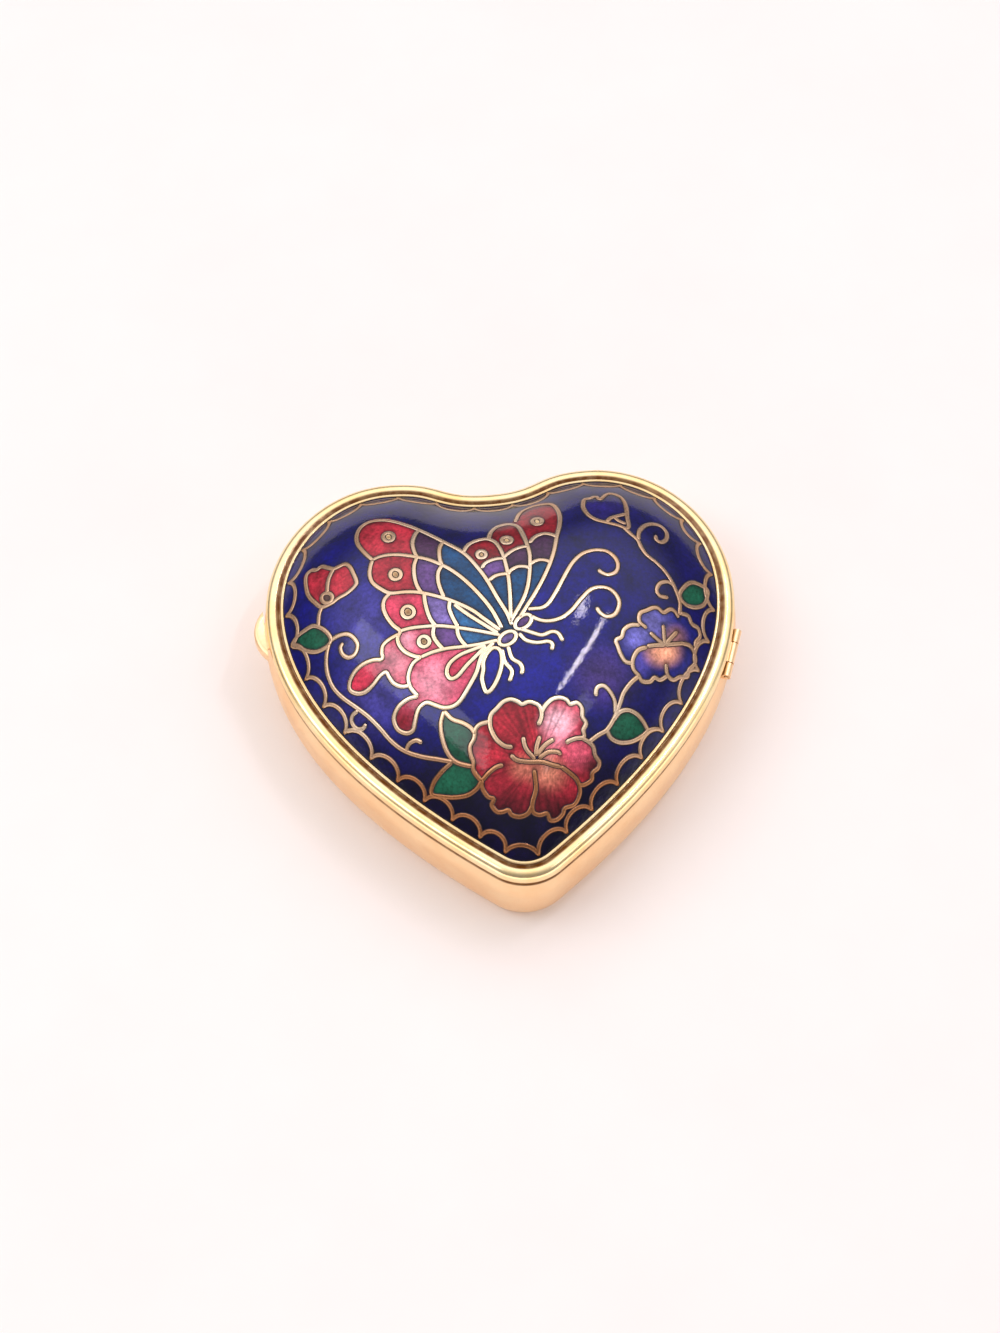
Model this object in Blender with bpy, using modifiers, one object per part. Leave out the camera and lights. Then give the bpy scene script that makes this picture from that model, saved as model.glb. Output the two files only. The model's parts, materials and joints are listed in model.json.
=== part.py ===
"""Heart-shaped cloisonne enamel box with a domed, hinged lid.

Metres, +Z up. The heart's tip points along -Y and its notch along +Y. The box stands on its
underside at z = 0, centred under its own bounding box. Every outline is the lid's outer heart,
moved inward or outward along its own normals.
"""

import math

import bmesh
import bpy
import numpy as np
from mathutils import Matrix, Vector
from mathutils.geometry import interpolate_bezier

MM = 0.001

# Heart outline: the outer edge of the lid's bead, with its tip at the drawing's zero
LID_WIDTH = 48.0 * MM
LID_LENGTH = 46.7 * MM
NOTCH_DEPTH = 2.1 * MM
WIDEST_Y = 31.5 * MM
LOBE_TOP_X = 10.4 * MM
TIP_RADIUS = 5.4 * MM
TIP_SIDE_ANGLE = math.radians(37.2)

# How far each Bezier handle reaches from its point
NOTCH_HANDLE = 5.4 * MM
LOBE_INNER_HANDLE = 5.7 * MM
LOBE_OUTER_HANDLE = 6.9 * MM
WIDEST_UP_HANDLE = 9.0 * MM
WIDEST_DOWN_HANDLE = 13.6 * MM
TIP_SIDE_HANDLE = 9.0 * MM

# Cup below the lid
CUP_HEIGHT = 7.2 * MM
CUP_WALL = 0.8 * MM
CUP_BULGE = 0.3 * MM
CUP_BULGE_HEIGHT = 5.0 * MM
CUP_RIM_INSET = 0.1 * MM
CUP_RIM_LAND = 0.3 * MM
CUP_FOOT_INSET = 0.9 * MM

# Lid frame: a round bead, a groove, a lip round the enamel and the seat under it
SEAM_GAP = 0.15 * MM
BEAD_RADIUS = 0.85 * MM
GROOVE_WIDTH = 0.06 * MM
GROOVE_HEIGHT = 0.65 * MM
LIP_HEIGHT = 1.15 * MM
LIP_WIDTH = 0.42 * MM
SEAT_WIDTH = 0.45 * MM
SEAT_CLEARANCE = 0.2 * MM

# Enamelled plaque
ENAMEL_EDGE_GAP = 0.1 * MM
ENAMEL_EDGE_DROP = 0.15 * MM
ENAMEL_THICKNESS = 1.2 * MM
DOME_RISE = 6.5 * MM
DOME_EDGE_ANGLE = math.radians(43.0)
DOME_CENTRE_Y = 26.0 * MM
DOME_LEAST_POWER = 1.2
RIDGE_SAMPLES = 40

# Hinge, on the heart's right side
HINGE_Y = 24.2 * MM
HINGE_STANDOFF = 0.25 * MM
HINGE_RISE = 0.05 * MM
KNUCKLE_RADIUS = 0.45 * MM
LID_KNUCKLE_LENGTH = 2.3 * MM
CUP_KNUCKLE_LENGTH = 1.5 * MM
KNUCKLE_GAP = 0.12 * MM
PIN_RADIUS = 0.2 * MM
PIN_CLEARANCE = 0.05 * MM
PIN_END = 0.15 * MM
CUTTER_OVERRUN = 4.0 * MM
LEAF_THICKNESS = 0.3 * MM
LEAF_CLEARANCE = 0.1 * MM
LEAF_REACH = 1.75 * MM
CUP_LEAF_DROP = 2.6 * MM
CUP_LEAF_CURVE_ROOM = 0.35 * MM
CUP_LEAF_RECESS = 2.3 * MM

# Thumb catch, on the heart's left side
CATCH_Y = 30.2 * MM
CATCH_RADIUS = 3.8 * MM
CATCH_REACH = 1.3 * MM
CATCH_HEIGHT = 1.3 * MM
CATCH_TOP_BELOW_BEAD = 0.1 * MM
CATCH_BEAD_GAP = 0.12 * MM
CATCH_TONGUE_WIDTH = 3.0 * MM
CATCH_EDGE_ROUND = 0.3 * MM
CATCH_DISH_MARGIN = 0.4 * MM
CATCH_DISH_DEPTH = 0.35 * MM

# Mesh fineness
OUTLINE_POINTS = 78
EDGE_SAMPLES = 640
CURVE_SAMPLES = 60
CUP_SIDE_RINGS = 8
CUP_SHOULDER_RINGS = 3
BEAD_STEPS = 8
DOME_RINGS = 7
DOME_RING_CROWDING = 1.3
KNUCKLE_SIDES = 24
PIN_SIDES = 16
CATCH_SIDES = 48
DISH_SIDES = 32

# Heights that follow from the sizes above
LID_BOTTOM = CUP_HEIGHT + SEAM_GAP
BEAD_HEIGHT = LID_BOTTOM + BEAD_RADIUS
HINGE_HEIGHT = CUP_HEIGHT + HINGE_RISE
CATCH_TOP = BEAD_HEIGHT - CATCH_TOP_BELOW_BEAD

# Insets from the bead's outer edge that follow from the sizes above
GROOVE_INSET = BEAD_RADIUS + math.sqrt(BEAD_RADIUS ** 2 - GROOVE_HEIGHT ** 2)
LIP_FOOT_INSET = GROOVE_INSET + GROOVE_WIDTH
LIP_INSET = LIP_FOOT_INSET + LIP_WIDTH
ENAMEL_INSET = LIP_INSET + ENAMEL_EDGE_GAP
ENAMEL_EDGE_HEIGHT = BEAD_HEIGHT + LIP_HEIGHT - ENAMEL_EDGE_DROP
ENAMEL_FOOT_INSET = ENAMEL_INSET + ENAMEL_THICKNESS * math.sin(DOME_EDGE_ANGLE)
ENAMEL_FOOT_HEIGHT = ENAMEL_EDGE_HEIGHT - ENAMEL_THICKNESS * math.cos(DOME_EDGE_ANGLE)
FRAME_INSET = ENAMEL_FOOT_INSET + SEAT_WIDTH


def bezier_run(start, start_handle, end_handle, end):
    """Points along one cubic stretch, without its last point."""
    return [Vector(p) for p in interpolate_bezier(start, start_handle, end_handle, end, CURVE_SAMPLES)[:-1]]


def right_half_outline():
    """The heart's right half, from its tip round to its notch."""
    half_width = LID_WIDTH / 2
    notch = Vector((0, LID_LENGTH - NOTCH_DEPTH))
    lobe_top = Vector((LOBE_TOP_X, LID_LENGTH))
    widest = Vector((half_width, WIDEST_Y))
    arc_centre = Vector((0, TIP_RADIUS))
    side_direction = Vector((math.cos(TIP_SIDE_ANGLE), math.sin(TIP_SIDE_ANGLE)))
    arc_end = arc_centre + TIP_RADIUS * Vector((side_direction.y, -side_direction.x))

    points = []
    for step in range(CURVE_SAMPLES):
        angle = TIP_SIDE_ANGLE * step / CURVE_SAMPLES
        points.append(arc_centre + TIP_RADIUS * Vector((math.sin(angle), -math.cos(angle))))
    points += bezier_run(arc_end, arc_end + TIP_SIDE_HANDLE * side_direction,
                         widest - Vector((0, WIDEST_DOWN_HANDLE)), widest)
    points += bezier_run(widest, widest + Vector((0, WIDEST_UP_HANDLE)),
                         lobe_top + Vector((LOBE_OUTER_HANDLE, 0)), lobe_top)
    points += bezier_run(lobe_top, lobe_top - Vector((LOBE_INNER_HANDLE, 0)),
                         notch + Vector((NOTCH_HANDLE, 0)), notch)
    points.append(notch)
    return points


def spaced_evenly(points, count):
    """The same line with count equal steps, both ends kept."""
    reach = [0.0]
    for before, after in zip(points, points[1:]):
        reach.append(reach[-1] + (after - before).length)
    spaced = []
    place = 0
    for step in range(count + 1):
        target = reach[-1] * step / count
        while place < len(points) - 2 and reach[place + 1] < target:
            place += 1
        share = (target - reach[place]) / (reach[place + 1] - reach[place])
        spaced.append(points[place].lerp(points[place + 1], min(share, 1.0)))
    return spaced


def heart_outline(count):
    """Points round the whole heart, counter-clockwise from the tip, each with its outward normal."""
    right = spaced_evenly(right_half_outline(), count // 2)
    left = [Vector((-p.x, p.y)) for p in reversed(right[1:-1])]
    points = right + left
    outline = []
    for index, point in enumerate(points):
        along = points[(index + 1) % len(points)] - points[index - 1]
        outline.append((point, Vector((along.y, -along.x)).normalized()))
    return outline


OUTLINE = heart_outline(OUTLINE_POINTS)


def moved_outline(outline, offset):
    """The heart moved outward by offset, in plan."""
    return [p + normal * offset for p, normal in outline]


def ring_points(offset, height):
    """The heart moved outward by offset, at one height."""
    return [p.to_3d() + Vector((0, 0, height)) for p in moved_outline(OUTLINE, offset)]


def side_place(y, side):
    """Where the outline crosses y on side +1 or -1: the point and the outward normal."""
    half = spaced_evenly(right_half_outline(), 4 * OUTLINE_POINTS)
    widest = max(range(len(half)), key=lambda i: half[i].x)
    reachable = half[:widest + 1] if y < half[widest].y else half[widest:]
    index = min(range(1, len(reachable) - 1), key=lambda i: abs(reachable[i].y - y))
    tangent = (reachable[index + 1] - reachable[index - 1]).normalized()
    tangent = tangent if tangent.y > 0 else -tangent
    point = Vector((side * reachable[index].x, reachable[index].y))
    return point, Vector((side * tangent.y, -tangent.x))


def fitting_frame(y, side, height):
    """A matrix at the outline's edge: X outward, Y along the edge, Z up."""
    point, normal = side_place(y, side)
    return Matrix.Translation((point.x, point.y, height)) @ Matrix.Rotation(
        math.atan2(normal.y, normal.x), 4, "Z")


def principled(name, colour, roughness, metallic):
    """A plain Principled material."""
    material = bpy.data.materials.new(name)
    material.use_nodes = True
    shader = material.node_tree.nodes["Principled BSDF"]
    shader.inputs["Base Color"].default_value = (*colour, 1)
    shader.inputs["Roughness"].default_value = roughness
    shader.inputs["Metallic"].default_value = metallic
    material.diffuse_color = (*colour, 1)
    return material


def add_object(name, mesh, collection, material=None):
    """An object for a mesh, in one collection."""
    obj = bpy.data.objects.new(name, mesh)
    if material:
        mesh.materials.append(material)
    collection.objects.link(obj)
    return obj


def mesh_from(bm, name):
    """Close a bmesh into a mesh with outward faces."""
    bmesh.ops.recalc_face_normals(bm, faces=bm.faces)
    mesh = bpy.data.meshes.new(name)
    bm.to_mesh(mesh)
    bm.free()
    return mesh


def add_loops(bm, rings):
    """One closed loop of edges for each ring of points."""
    loops = []
    for points in rings:
        verts = [bm.verts.new(p) for p in points]
        edges = [bm.edges.new((verts[i - 1], verts[i])) for i in range(len(verts))]
        loops.append((verts, edges))
    return loops


def loft(bm, rings, closed=False):
    """Faces between neighbouring rings of points, and from last to first when closed."""
    loops = add_loops(bm, rings)
    pairs = list(zip(loops, loops[1:]))
    if closed:
        pairs.append((loops[-1], loops[0]))
    for (lower, _), (upper, _) in pairs:
        for i in range(len(lower)):
            bm.faces.new((lower[i - 1], lower[i], upper[i], upper[i - 1]))
    return loops


def shade(obj, angle=math.radians(35)):
    """Smooth shading with creases above an angle."""
    obj.data.shade_smooth()
    obj.data.set_sharp_from_angle(angle=angle)


def cylinder_mesh(name, radius, length, sides):
    """A closed cylinder along Y, centred on its origin."""
    bm = bmesh.new()
    bmesh.ops.create_cone(bm, cap_ends=True, segments=sides, radius1=radius, radius2=radius,
                          depth=length, matrix=Matrix.Rotation(math.radians(90), 4, "X"))
    return mesh_from(bm, name)


def block_mesh(name, low, high):
    """A closed box between two corners."""
    low, high = Vector(low), Vector(high)
    size = high - low
    bm = bmesh.new()
    bmesh.ops.create_cube(bm, size=1.0, matrix=Matrix.Translation((low + high) / 2)
                          @ Matrix.Diagonal((*size, 1)))
    return mesh_from(bm, name)


def boolean(obj, other, operation):
    """Cut away or join another object, exactly."""
    modifier = obj.modifiers.new(other.name, "BOOLEAN")
    modifier.operation = operation
    modifier.solver = "EXACT"
    modifier.object = other


class Workshop:
    """The collections, the root and the materials that every piece shares."""

    def __init__(self):
        self.parts = bpy.data.collections.new("cloisonne_box")
        self.tools = bpy.data.collections.new("cutters")
        for collection in (self.parts, self.tools):
            bpy.context.scene.collection.children.link(collection)
        self.gilt = principled("gilt_metal", (0.85, 0.60, 0.30), 0.2, 1.0)
        self.enamel = principled("blue_enamel", (0.02, 0.02, 0.25), 0.15, 0.0)
        self.root = self.empty("box_root", None)

    def empty(self, name, parent):
        """An empty that carries others."""
        obj = bpy.data.objects.new(name, None)
        obj.parent = parent
        self.parts.objects.link(obj)
        return obj

    def piece(self, name, mesh, material, parent=None, matrix=None):
        """A named solid of the box."""
        obj = add_object(name, mesh, self.parts, material)
        obj.parent = parent or self.root
        if matrix:
            obj.matrix_local = matrix
        return obj

    def tool(self, name, mesh, matrix=None, parent=None):
        """A hidden solid used to cut or to join."""
        obj = add_object(name, mesh, self.tools)
        obj.parent = parent or self.root
        obj.hide_render = True
        obj.display_type = "WIRE"
        if matrix:
            obj.matrix_local = matrix
        return obj


def cup_rings():
    """Offsets and heights up the cup's outer wall, from the underside's edge to the rim."""
    foot_run = CUP_BULGE + CUP_FOOT_INSET
    rings = []
    for step in range(CUP_SIDE_RINGS):
        angle = math.radians(90) * (1 - step / CUP_SIDE_RINGS)
        rings.append((CUP_BULGE - foot_run * (1 - math.cos(angle)),
                      CUP_BULGE_HEIGHT * (1 - math.sin(angle))))
    shoulder_rise = CUP_HEIGHT - CUP_RIM_LAND - CUP_BULGE_HEIGHT
    shoulder_run = CUP_BULGE + CUP_RIM_INSET
    for step in range(CUP_SHOULDER_RINGS):
        share = step / CUP_SHOULDER_RINGS
        rings.append((CUP_BULGE - shoulder_run * share ** 2, CUP_BULGE_HEIGHT + shoulder_rise * share))
    rings.append((-CUP_RIM_INSET, CUP_HEIGHT - CUP_RIM_LAND))
    rings.append((-CUP_RIM_INSET, CUP_HEIGHT))
    return rings


def hinge_notch_tools(shop, hinge_frame):
    """Cutters for the hinge: the barrel's hollow and the leaf recesses in cup and lid."""
    barrel = LID_KNUCKLE_LENGTH + 2 * (CUP_KNUCKLE_LENGTH + KNUCKLE_GAP)
    axis = hinge_frame @ Matrix.Translation((HINGE_STANDOFF, 0, HINGE_HEIGHT))
    around = KNUCKLE_RADIUS + LEAF_CLEARANCE
    hollow = shop.tool("cut_hinge_barrel", cylinder_mesh(
        "cut_hinge_barrel", around, barrel + 2 * (PIN_END + LEAF_CLEARANCE), KNUCKLE_SIDES), axis)
    recesses = []
    for side in (-1, 1):
        near = side * (LID_KNUCKLE_LENGTH / 2 + KNUCKLE_GAP - LEAF_CLEARANCE)
        far = side * (barrel / 2 + LEAF_CLEARANCE)
        recesses.append(shop.tool(f"cut_cup_leaf_{'lower' if side < 0 else 'upper'}", block_mesh(
            "cut_cup_leaf",
            (-CUP_LEAF_RECESS, min(near, far), HINGE_HEIGHT - LEAF_THICKNESS - 2 * LEAF_CLEARANCE),
            (HINGE_STANDOFF, max(near, far), HINGE_HEIGHT + LEAF_THICKNESS)), hinge_frame))
    half = LID_KNUCKLE_LENGTH / 2 + LEAF_CLEARANCE
    lid_recess = shop.tool("cut_lid_leaf", block_mesh(
        "cut_lid_leaf", (-(LEAF_REACH + LEAF_CLEARANCE), -half, LID_BOTTOM - LEAF_THICKNESS),
        (HINGE_STANDOFF, half, LID_BOTTOM + LEAF_THICKNESS + LEAF_CLEARANCE)), hinge_frame)
    return hollow, recesses, lid_recess


def base_cup(shop, hollow, recesses):
    """The thin-walled metal cup with a flat underside and a rounded, bulging side."""
    bm = bmesh.new()
    loops = loft(bm, [ring_points(offset, height) for offset, height in cup_rings()])
    bm.faces.new(loops[0][0])
    cup = shop.piece("base_cup", mesh_from(bm, "base_cup"), shop.gilt)
    if cup.data.polygons[-1].normal.z > 0:
        cup.data.flip_normals()
    wall = cup.modifiers.new("wall", "SOLIDIFY")
    wall.thickness = CUP_WALL
    wall.offset = -1
    wall.use_even_offset = True
    boolean(cup, hollow, "DIFFERENCE")
    for recess in recesses:
        boolean(cup, recess, "DIFFERENCE")
    shade(cup)
    return cup


def frame_section():
    """The lid frame's cross-section as insets from the bead's outer edge and heights."""
    groove_angle = math.asin(GROOVE_HEIGHT / BEAD_RADIUS)
    sweep = math.radians(270) - groove_angle
    section = []
    for step in range(BEAD_STEPS + 1):
        angle = -math.radians(90) + sweep * step / BEAD_STEPS
        section.append((BEAD_RADIUS * (1 - math.cos(angle)), BEAD_HEIGHT + BEAD_RADIUS * math.sin(angle)))
    lip_top = BEAD_HEIGHT + LIP_HEIGHT
    lip_round = LIP_WIDTH / 4
    section.append((LIP_FOOT_INSET, BEAD_HEIGHT + GROOVE_HEIGHT))
    section.append((LIP_INSET - 2 * lip_round, lip_top - lip_round))
    section.append((LIP_INSET - lip_round, lip_top))
    section.append((LIP_INSET, lip_top - lip_round))
    section.append((ENAMEL_FOOT_INSET - SEAT_CLEARANCE, ENAMEL_FOOT_HEIGHT - SEAT_CLEARANCE))
    underside_rise = SEAT_WIDTH * math.tan(DOME_EDGE_ANGLE)
    section.append((FRAME_INSET, ENAMEL_FOOT_HEIGHT + underside_rise - 2 * SEAT_CLEARANCE))
    section.append((FRAME_INSET, LID_BOTTOM))
    return section


def lid_frame(shop, recesses):
    """The gilt rim of the lid: bead, groove, lip and enamel seat in one ring."""
    bm = bmesh.new()
    loft(bm, [ring_points(-inset, height) for inset, height in frame_section()], closed=True)
    frame = shop.piece("lid_frame", mesh_from(bm, "lid_frame"), shop.gilt)
    for recess in recesses:
        boolean(frame, recess, "DIFFERENCE")
    shade(frame)
    return frame


class Dome:
    """The smooth dome over the enamel's outline.

    A point's depth is a smooth stand-in for its distance from the edge: it equals that distance
    close to the edge and levels off towards the middle, so the dome has no ridges.
    """

    def __init__(self):
        self.edge = np.array(moved_outline(heart_outline(EDGE_SAMPLES), -ENAMEL_INSET))
        self.step = np.linalg.norm(np.roll(self.edge, -1, axis=0) - self.edge, axis=1)
        low, high = DOME_CENTRE_Y / 2, (DOME_CENTRE_Y + LID_LENGTH) / 2
        ridge = [Vector((0, low + (high - low) * step / RIDGE_SAMPLES)) for step in range(RIDGE_SAMPLES + 1)]
        self.deepest = max(self.depth(p) for p in ridge)
        self.power = max(DOME_LEAST_POWER, math.tan(DOME_EDGE_ANGLE) * self.deepest / DOME_RISE)

    def depth(self, point):
        """The smooth distance of a plan point from the enamel's edge."""
        away = np.linalg.norm(self.edge - np.array(point), axis=1)
        return math.sqrt(2 / float(np.sum(self.step / away ** 3)))

    def top(self, point):
        """The dome's top surface above a plan point inside the edge."""
        share = min(1.0, self.depth(point) / self.deepest)
        rise = DOME_RISE * (1 - (1 - share) ** self.power)
        return Vector((point.x, point.y, ENAMEL_EDGE_HEIGHT + rise))


def enamel_plaque(shop):
    """The domed plate of enamel on metal, a shell of even thickness."""
    dome = Dome()
    centre = Vector((0, DOME_CENTRE_Y))
    edge = moved_outline(OUTLINE, -ENAMEL_INSET)
    rings = [[p.to_3d() + Vector((0, 0, ENAMEL_EDGE_HEIGHT)) for p in edge]]
    for step in range(1, DOME_RINGS):
        share = (step / DOME_RINGS) ** DOME_RING_CROWDING
        rings.append([dome.top(p.lerp(centre, share)) for p in edge])
    bm = bmesh.new()
    loops = loft(bm, rings)
    apex = bm.verts.new(dome.top(centre))
    last = loops[-1][0]
    for i in range(len(last)):
        bm.faces.new((last[i - 1], last[i], apex))
    plaque = shop.piece("enamel_plaque", mesh_from(bm, "enamel_plaque"), shop.enamel)
    if plaque.data.polygons[-1].normal.z < 0:
        plaque.data.flip_normals()
    shell = plaque.modifiers.new("thickness", "SOLIDIFY")
    shell.thickness = ENAMEL_THICKNESS
    shell.offset = -1
    shell.use_even_offset = True
    shade(plaque)
    return plaque


def knuckle_bore(shop, hinge_frame):
    """The hole for the pin, through every knuckle."""
    length = LID_KNUCKLE_LENGTH + 2 * CUP_KNUCKLE_LENGTH + CUTTER_OVERRUN
    return shop.tool("cut_pin_bore", cylinder_mesh(
        "cut_pin_bore", PIN_RADIUS + PIN_CLEARANCE, length, PIN_SIDES),
        hinge_frame @ Matrix.Translation((HINGE_STANDOFF, 0, HINGE_HEIGHT)))


def hinge_base_leaf(shop, hinge_frame, bore):
    """The cup's leaf: a flange inside the wall, two plates over the rim and two knuckles."""
    barrel = LID_KNUCKLE_LENGTH + 2 * (CUP_KNUCKLE_LENGTH + KNUCKLE_GAP)
    flange_outer = -(CUP_RIM_INSET + CUP_WALL + CUP_LEAF_CURVE_ROOM + LEAF_CLEARANCE)
    flange_inner = flange_outer - LEAF_THICKNESS
    plate_top = HINGE_HEIGHT - LEAF_CLEARANCE
    plate_bottom = plate_top - LEAF_THICKNESS
    leaf = shop.piece("hinge_base_leaf", block_mesh(
        "hinge_base_leaf", (flange_inner, -barrel / 2, HINGE_HEIGHT - CUP_LEAF_DROP),
        (flange_outer, barrel / 2, plate_top)), shop.gilt, matrix=hinge_frame)
    for side, name in ((-1, "lower"), (1, "upper")):
        near = side * (LID_KNUCKLE_LENGTH / 2 + KNUCKLE_GAP)
        middle = near + side * CUP_KNUCKLE_LENGTH / 2
        plate = shop.tool(f"join_plate_{name}", block_mesh(
            "join_plate", (flange_inner, middle - CUP_KNUCKLE_LENGTH / 2, plate_bottom),
            (HINGE_STANDOFF, middle + CUP_KNUCKLE_LENGTH / 2, plate_top)), hinge_frame)
        knuckle = shop.tool(f"join_knuckle_{name}", cylinder_mesh(
            "join_knuckle", KNUCKLE_RADIUS, CUP_KNUCKLE_LENGTH, KNUCKLE_SIDES),
            hinge_frame @ Matrix.Translation((HINGE_STANDOFF, middle, HINGE_HEIGHT)))
        boolean(leaf, plate, "UNION")
        boolean(leaf, knuckle, "UNION")
    boolean(leaf, bore, "DIFFERENCE")
    shade(leaf)
    return leaf


def hinge_lid_leaf(shop, hinge_frame, bore, lid_pivot):
    """The lid's leaf: a plate let into the frame's underside, with the middle knuckle."""
    leaf = shop.piece("hinge_lid_leaf", cylinder_mesh(
        "hinge_lid_leaf", KNUCKLE_RADIUS, LID_KNUCKLE_LENGTH, KNUCKLE_SIDES), shop.gilt, lid_pivot)
    half = LID_KNUCKLE_LENGTH / 2
    plate = shop.tool("join_lid_plate", block_mesh(
        "join_lid_plate", (-LEAF_REACH, -half, LID_BOTTOM),
        (HINGE_STANDOFF, half, LID_BOTTOM + LEAF_THICKNESS)), hinge_frame)
    boolean(leaf, plate, "UNION")
    boolean(leaf, bore, "DIFFERENCE")
    shade(leaf)
    return leaf


def hinge_pin(shop, hinge_frame):
    """The pin, a little longer than the barrel, with eased ends."""
    length = LID_KNUCKLE_LENGTH + 2 * (CUP_KNUCKLE_LENGTH + KNUCKLE_GAP + PIN_END)
    pin = shop.piece("hinge_pin", cylinder_mesh("hinge_pin", PIN_RADIUS, length, PIN_SIDES), shop.gilt,
                     matrix=hinge_frame @ Matrix.Translation((HINGE_STANDOFF, 0, HINGE_HEIGHT)))
    ease = pin.modifiers.new("eased ends", "BEVEL")
    ease.width = PIN_RADIUS / 3
    ease.segments = 2
    ease.angle_limit = math.radians(60)
    shade(pin)
    return pin


def catch_tools(shop, catch_frame):
    """The catch's cutters (its recess in the frame, its straight side and its dish) and its tongue."""
    half = CATCH_TONGUE_WIDTH / 2
    recess = shop.tool("cut_catch_tongue", block_mesh(
        "cut_catch_tongue",
        (-(LEAF_REACH + LEAF_CLEARANCE), -(half + LEAF_CLEARANCE), LID_BOTTOM - LEAF_THICKNESS),
        (CATCH_REACH, half + LEAF_CLEARANCE, LID_BOTTOM + LEAF_THICKNESS + LEAF_CLEARANCE)), catch_frame)
    tongue = shop.tool("join_catch_tongue", block_mesh(
        "join_catch_tongue", (-LEAF_REACH, -half, LID_BOTTOM),
        (CATCH_REACH / 2, half, LID_BOTTOM + LEAF_THICKNESS)), catch_frame)
    straight_cut = shop.tool("cut_catch_inside", block_mesh(
        "cut_catch_inside", (-2 * CATCH_RADIUS, -CATCH_RADIUS - CUTTER_OVERRUN, LID_BOTTOM - CUTTER_OVERRUN),
        (CATCH_BEAD_GAP, CATCH_RADIUS + CUTTER_OVERRUN, LID_BOTTOM + CUTTER_OVERRUN)), catch_frame)
    # The dish is the low end of an ellipsoid, which the catch's top cuts half-way down its lower half
    bm = bmesh.new()
    half_height = 2 * CATCH_DISH_DEPTH
    half_width = (CATCH_RADIUS - CATCH_DISH_MARGIN) / math.cos(math.radians(30))
    bmesh.ops.create_uvsphere(
        bm, u_segments=DISH_SIDES, v_segments=DISH_SIDES // 2, radius=1.0,
        matrix=Matrix.Translation((CATCH_REACH - CATCH_RADIUS, 0, CATCH_TOP + CATCH_DISH_DEPTH))
        @ Matrix.Diagonal((half_width, half_width, half_height, 1)))
    dish = shop.tool("cut_catch_dish", mesh_from(bm, "cut_catch_dish"), catch_frame)
    return recess, straight_cut, dish, tongue


def thumb_catch(shop, catch_frame, straight_cut, dish, tongue):
    """A crescent tab just outside the bead, dished for a fingertip, on a tongue under the frame."""
    disc_centre = Matrix.Translation((CATCH_REACH - CATCH_RADIUS, 0, CATCH_TOP - CATCH_HEIGHT / 2))
    bm = bmesh.new()
    bmesh.ops.create_cone(bm, cap_ends=True, segments=CATCH_SIDES, radius1=CATCH_RADIUS,
                          radius2=CATCH_RADIUS, depth=CATCH_HEIGHT, matrix=disc_centre)
    catch = shop.piece("thumb_catch", mesh_from(bm, "thumb_catch"), shop.gilt, matrix=catch_frame)
    rounding = catch.modifiers.new("rounded edges", "BEVEL")
    rounding.width = CATCH_EDGE_ROUND
    rounding.segments = 3
    rounding.angle_limit = math.radians(40)
    boolean(catch, dish, "DIFFERENCE")
    boolean(catch, straight_cut, "DIFFERENCE")
    boolean(catch, tongue, "UNION")
    shade(catch)
    return catch


def centre_on_box(shop):
    """Move the root so that the origin is under the middle of the whole box."""
    bpy.context.view_layer.update()
    corners = [obj.matrix_world @ Vector(corner) for obj in shop.parts.objects
               if obj.type == "MESH" for corner in obj.bound_box]
    for axis in (0, 1):
        values = [corner[axis] for corner in corners]
        shop.root.location[axis] -= (min(values) + max(values)) / 2
    bpy.context.view_layer.update()


def build():
    """Make the whole box."""
    for obj in list(bpy.data.objects):
        bpy.data.objects.remove(obj)
    shop = Workshop()
    hinge_frame = fitting_frame(HINGE_Y, 1, 0)
    catch_frame = fitting_frame(CATCH_Y, -1, 0)
    lid_pivot = shop.empty("lid_pivot", shop.root)
    pivot_place = hinge_frame @ Matrix.Translation((HINGE_STANDOFF, 0, HINGE_HEIGHT))
    lid_pivot.matrix_local = pivot_place

    hollow, cup_recesses, lid_recess = hinge_notch_tools(shop, hinge_frame)
    bore = knuckle_bore(shop, hinge_frame)
    catch_recess, straight_cut, dish, tongue = catch_tools(shop, catch_frame)

    base_cup(shop, hollow, cup_recesses)
    hinge_base_leaf(shop, hinge_frame, bore)
    hinge_pin(shop, hinge_frame)
    lid_pieces = [lid_frame(shop, [lid_recess, catch_recess]), enamel_plaque(shop),
                  thumb_catch(shop, catch_frame, straight_cut, dish, tongue)]
    hinge_lid_leaf(shop, hinge_frame, bore, lid_pivot)
    for piece in lid_pieces:
        piece.parent = lid_pivot
        piece.matrix_parent_inverse = pivot_place.inverted()
    centre_on_box(shop)


build()
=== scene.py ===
import json
import math

import bmesh
import bpy
import numpy as np
from mathutils import Matrix, Vector


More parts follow.
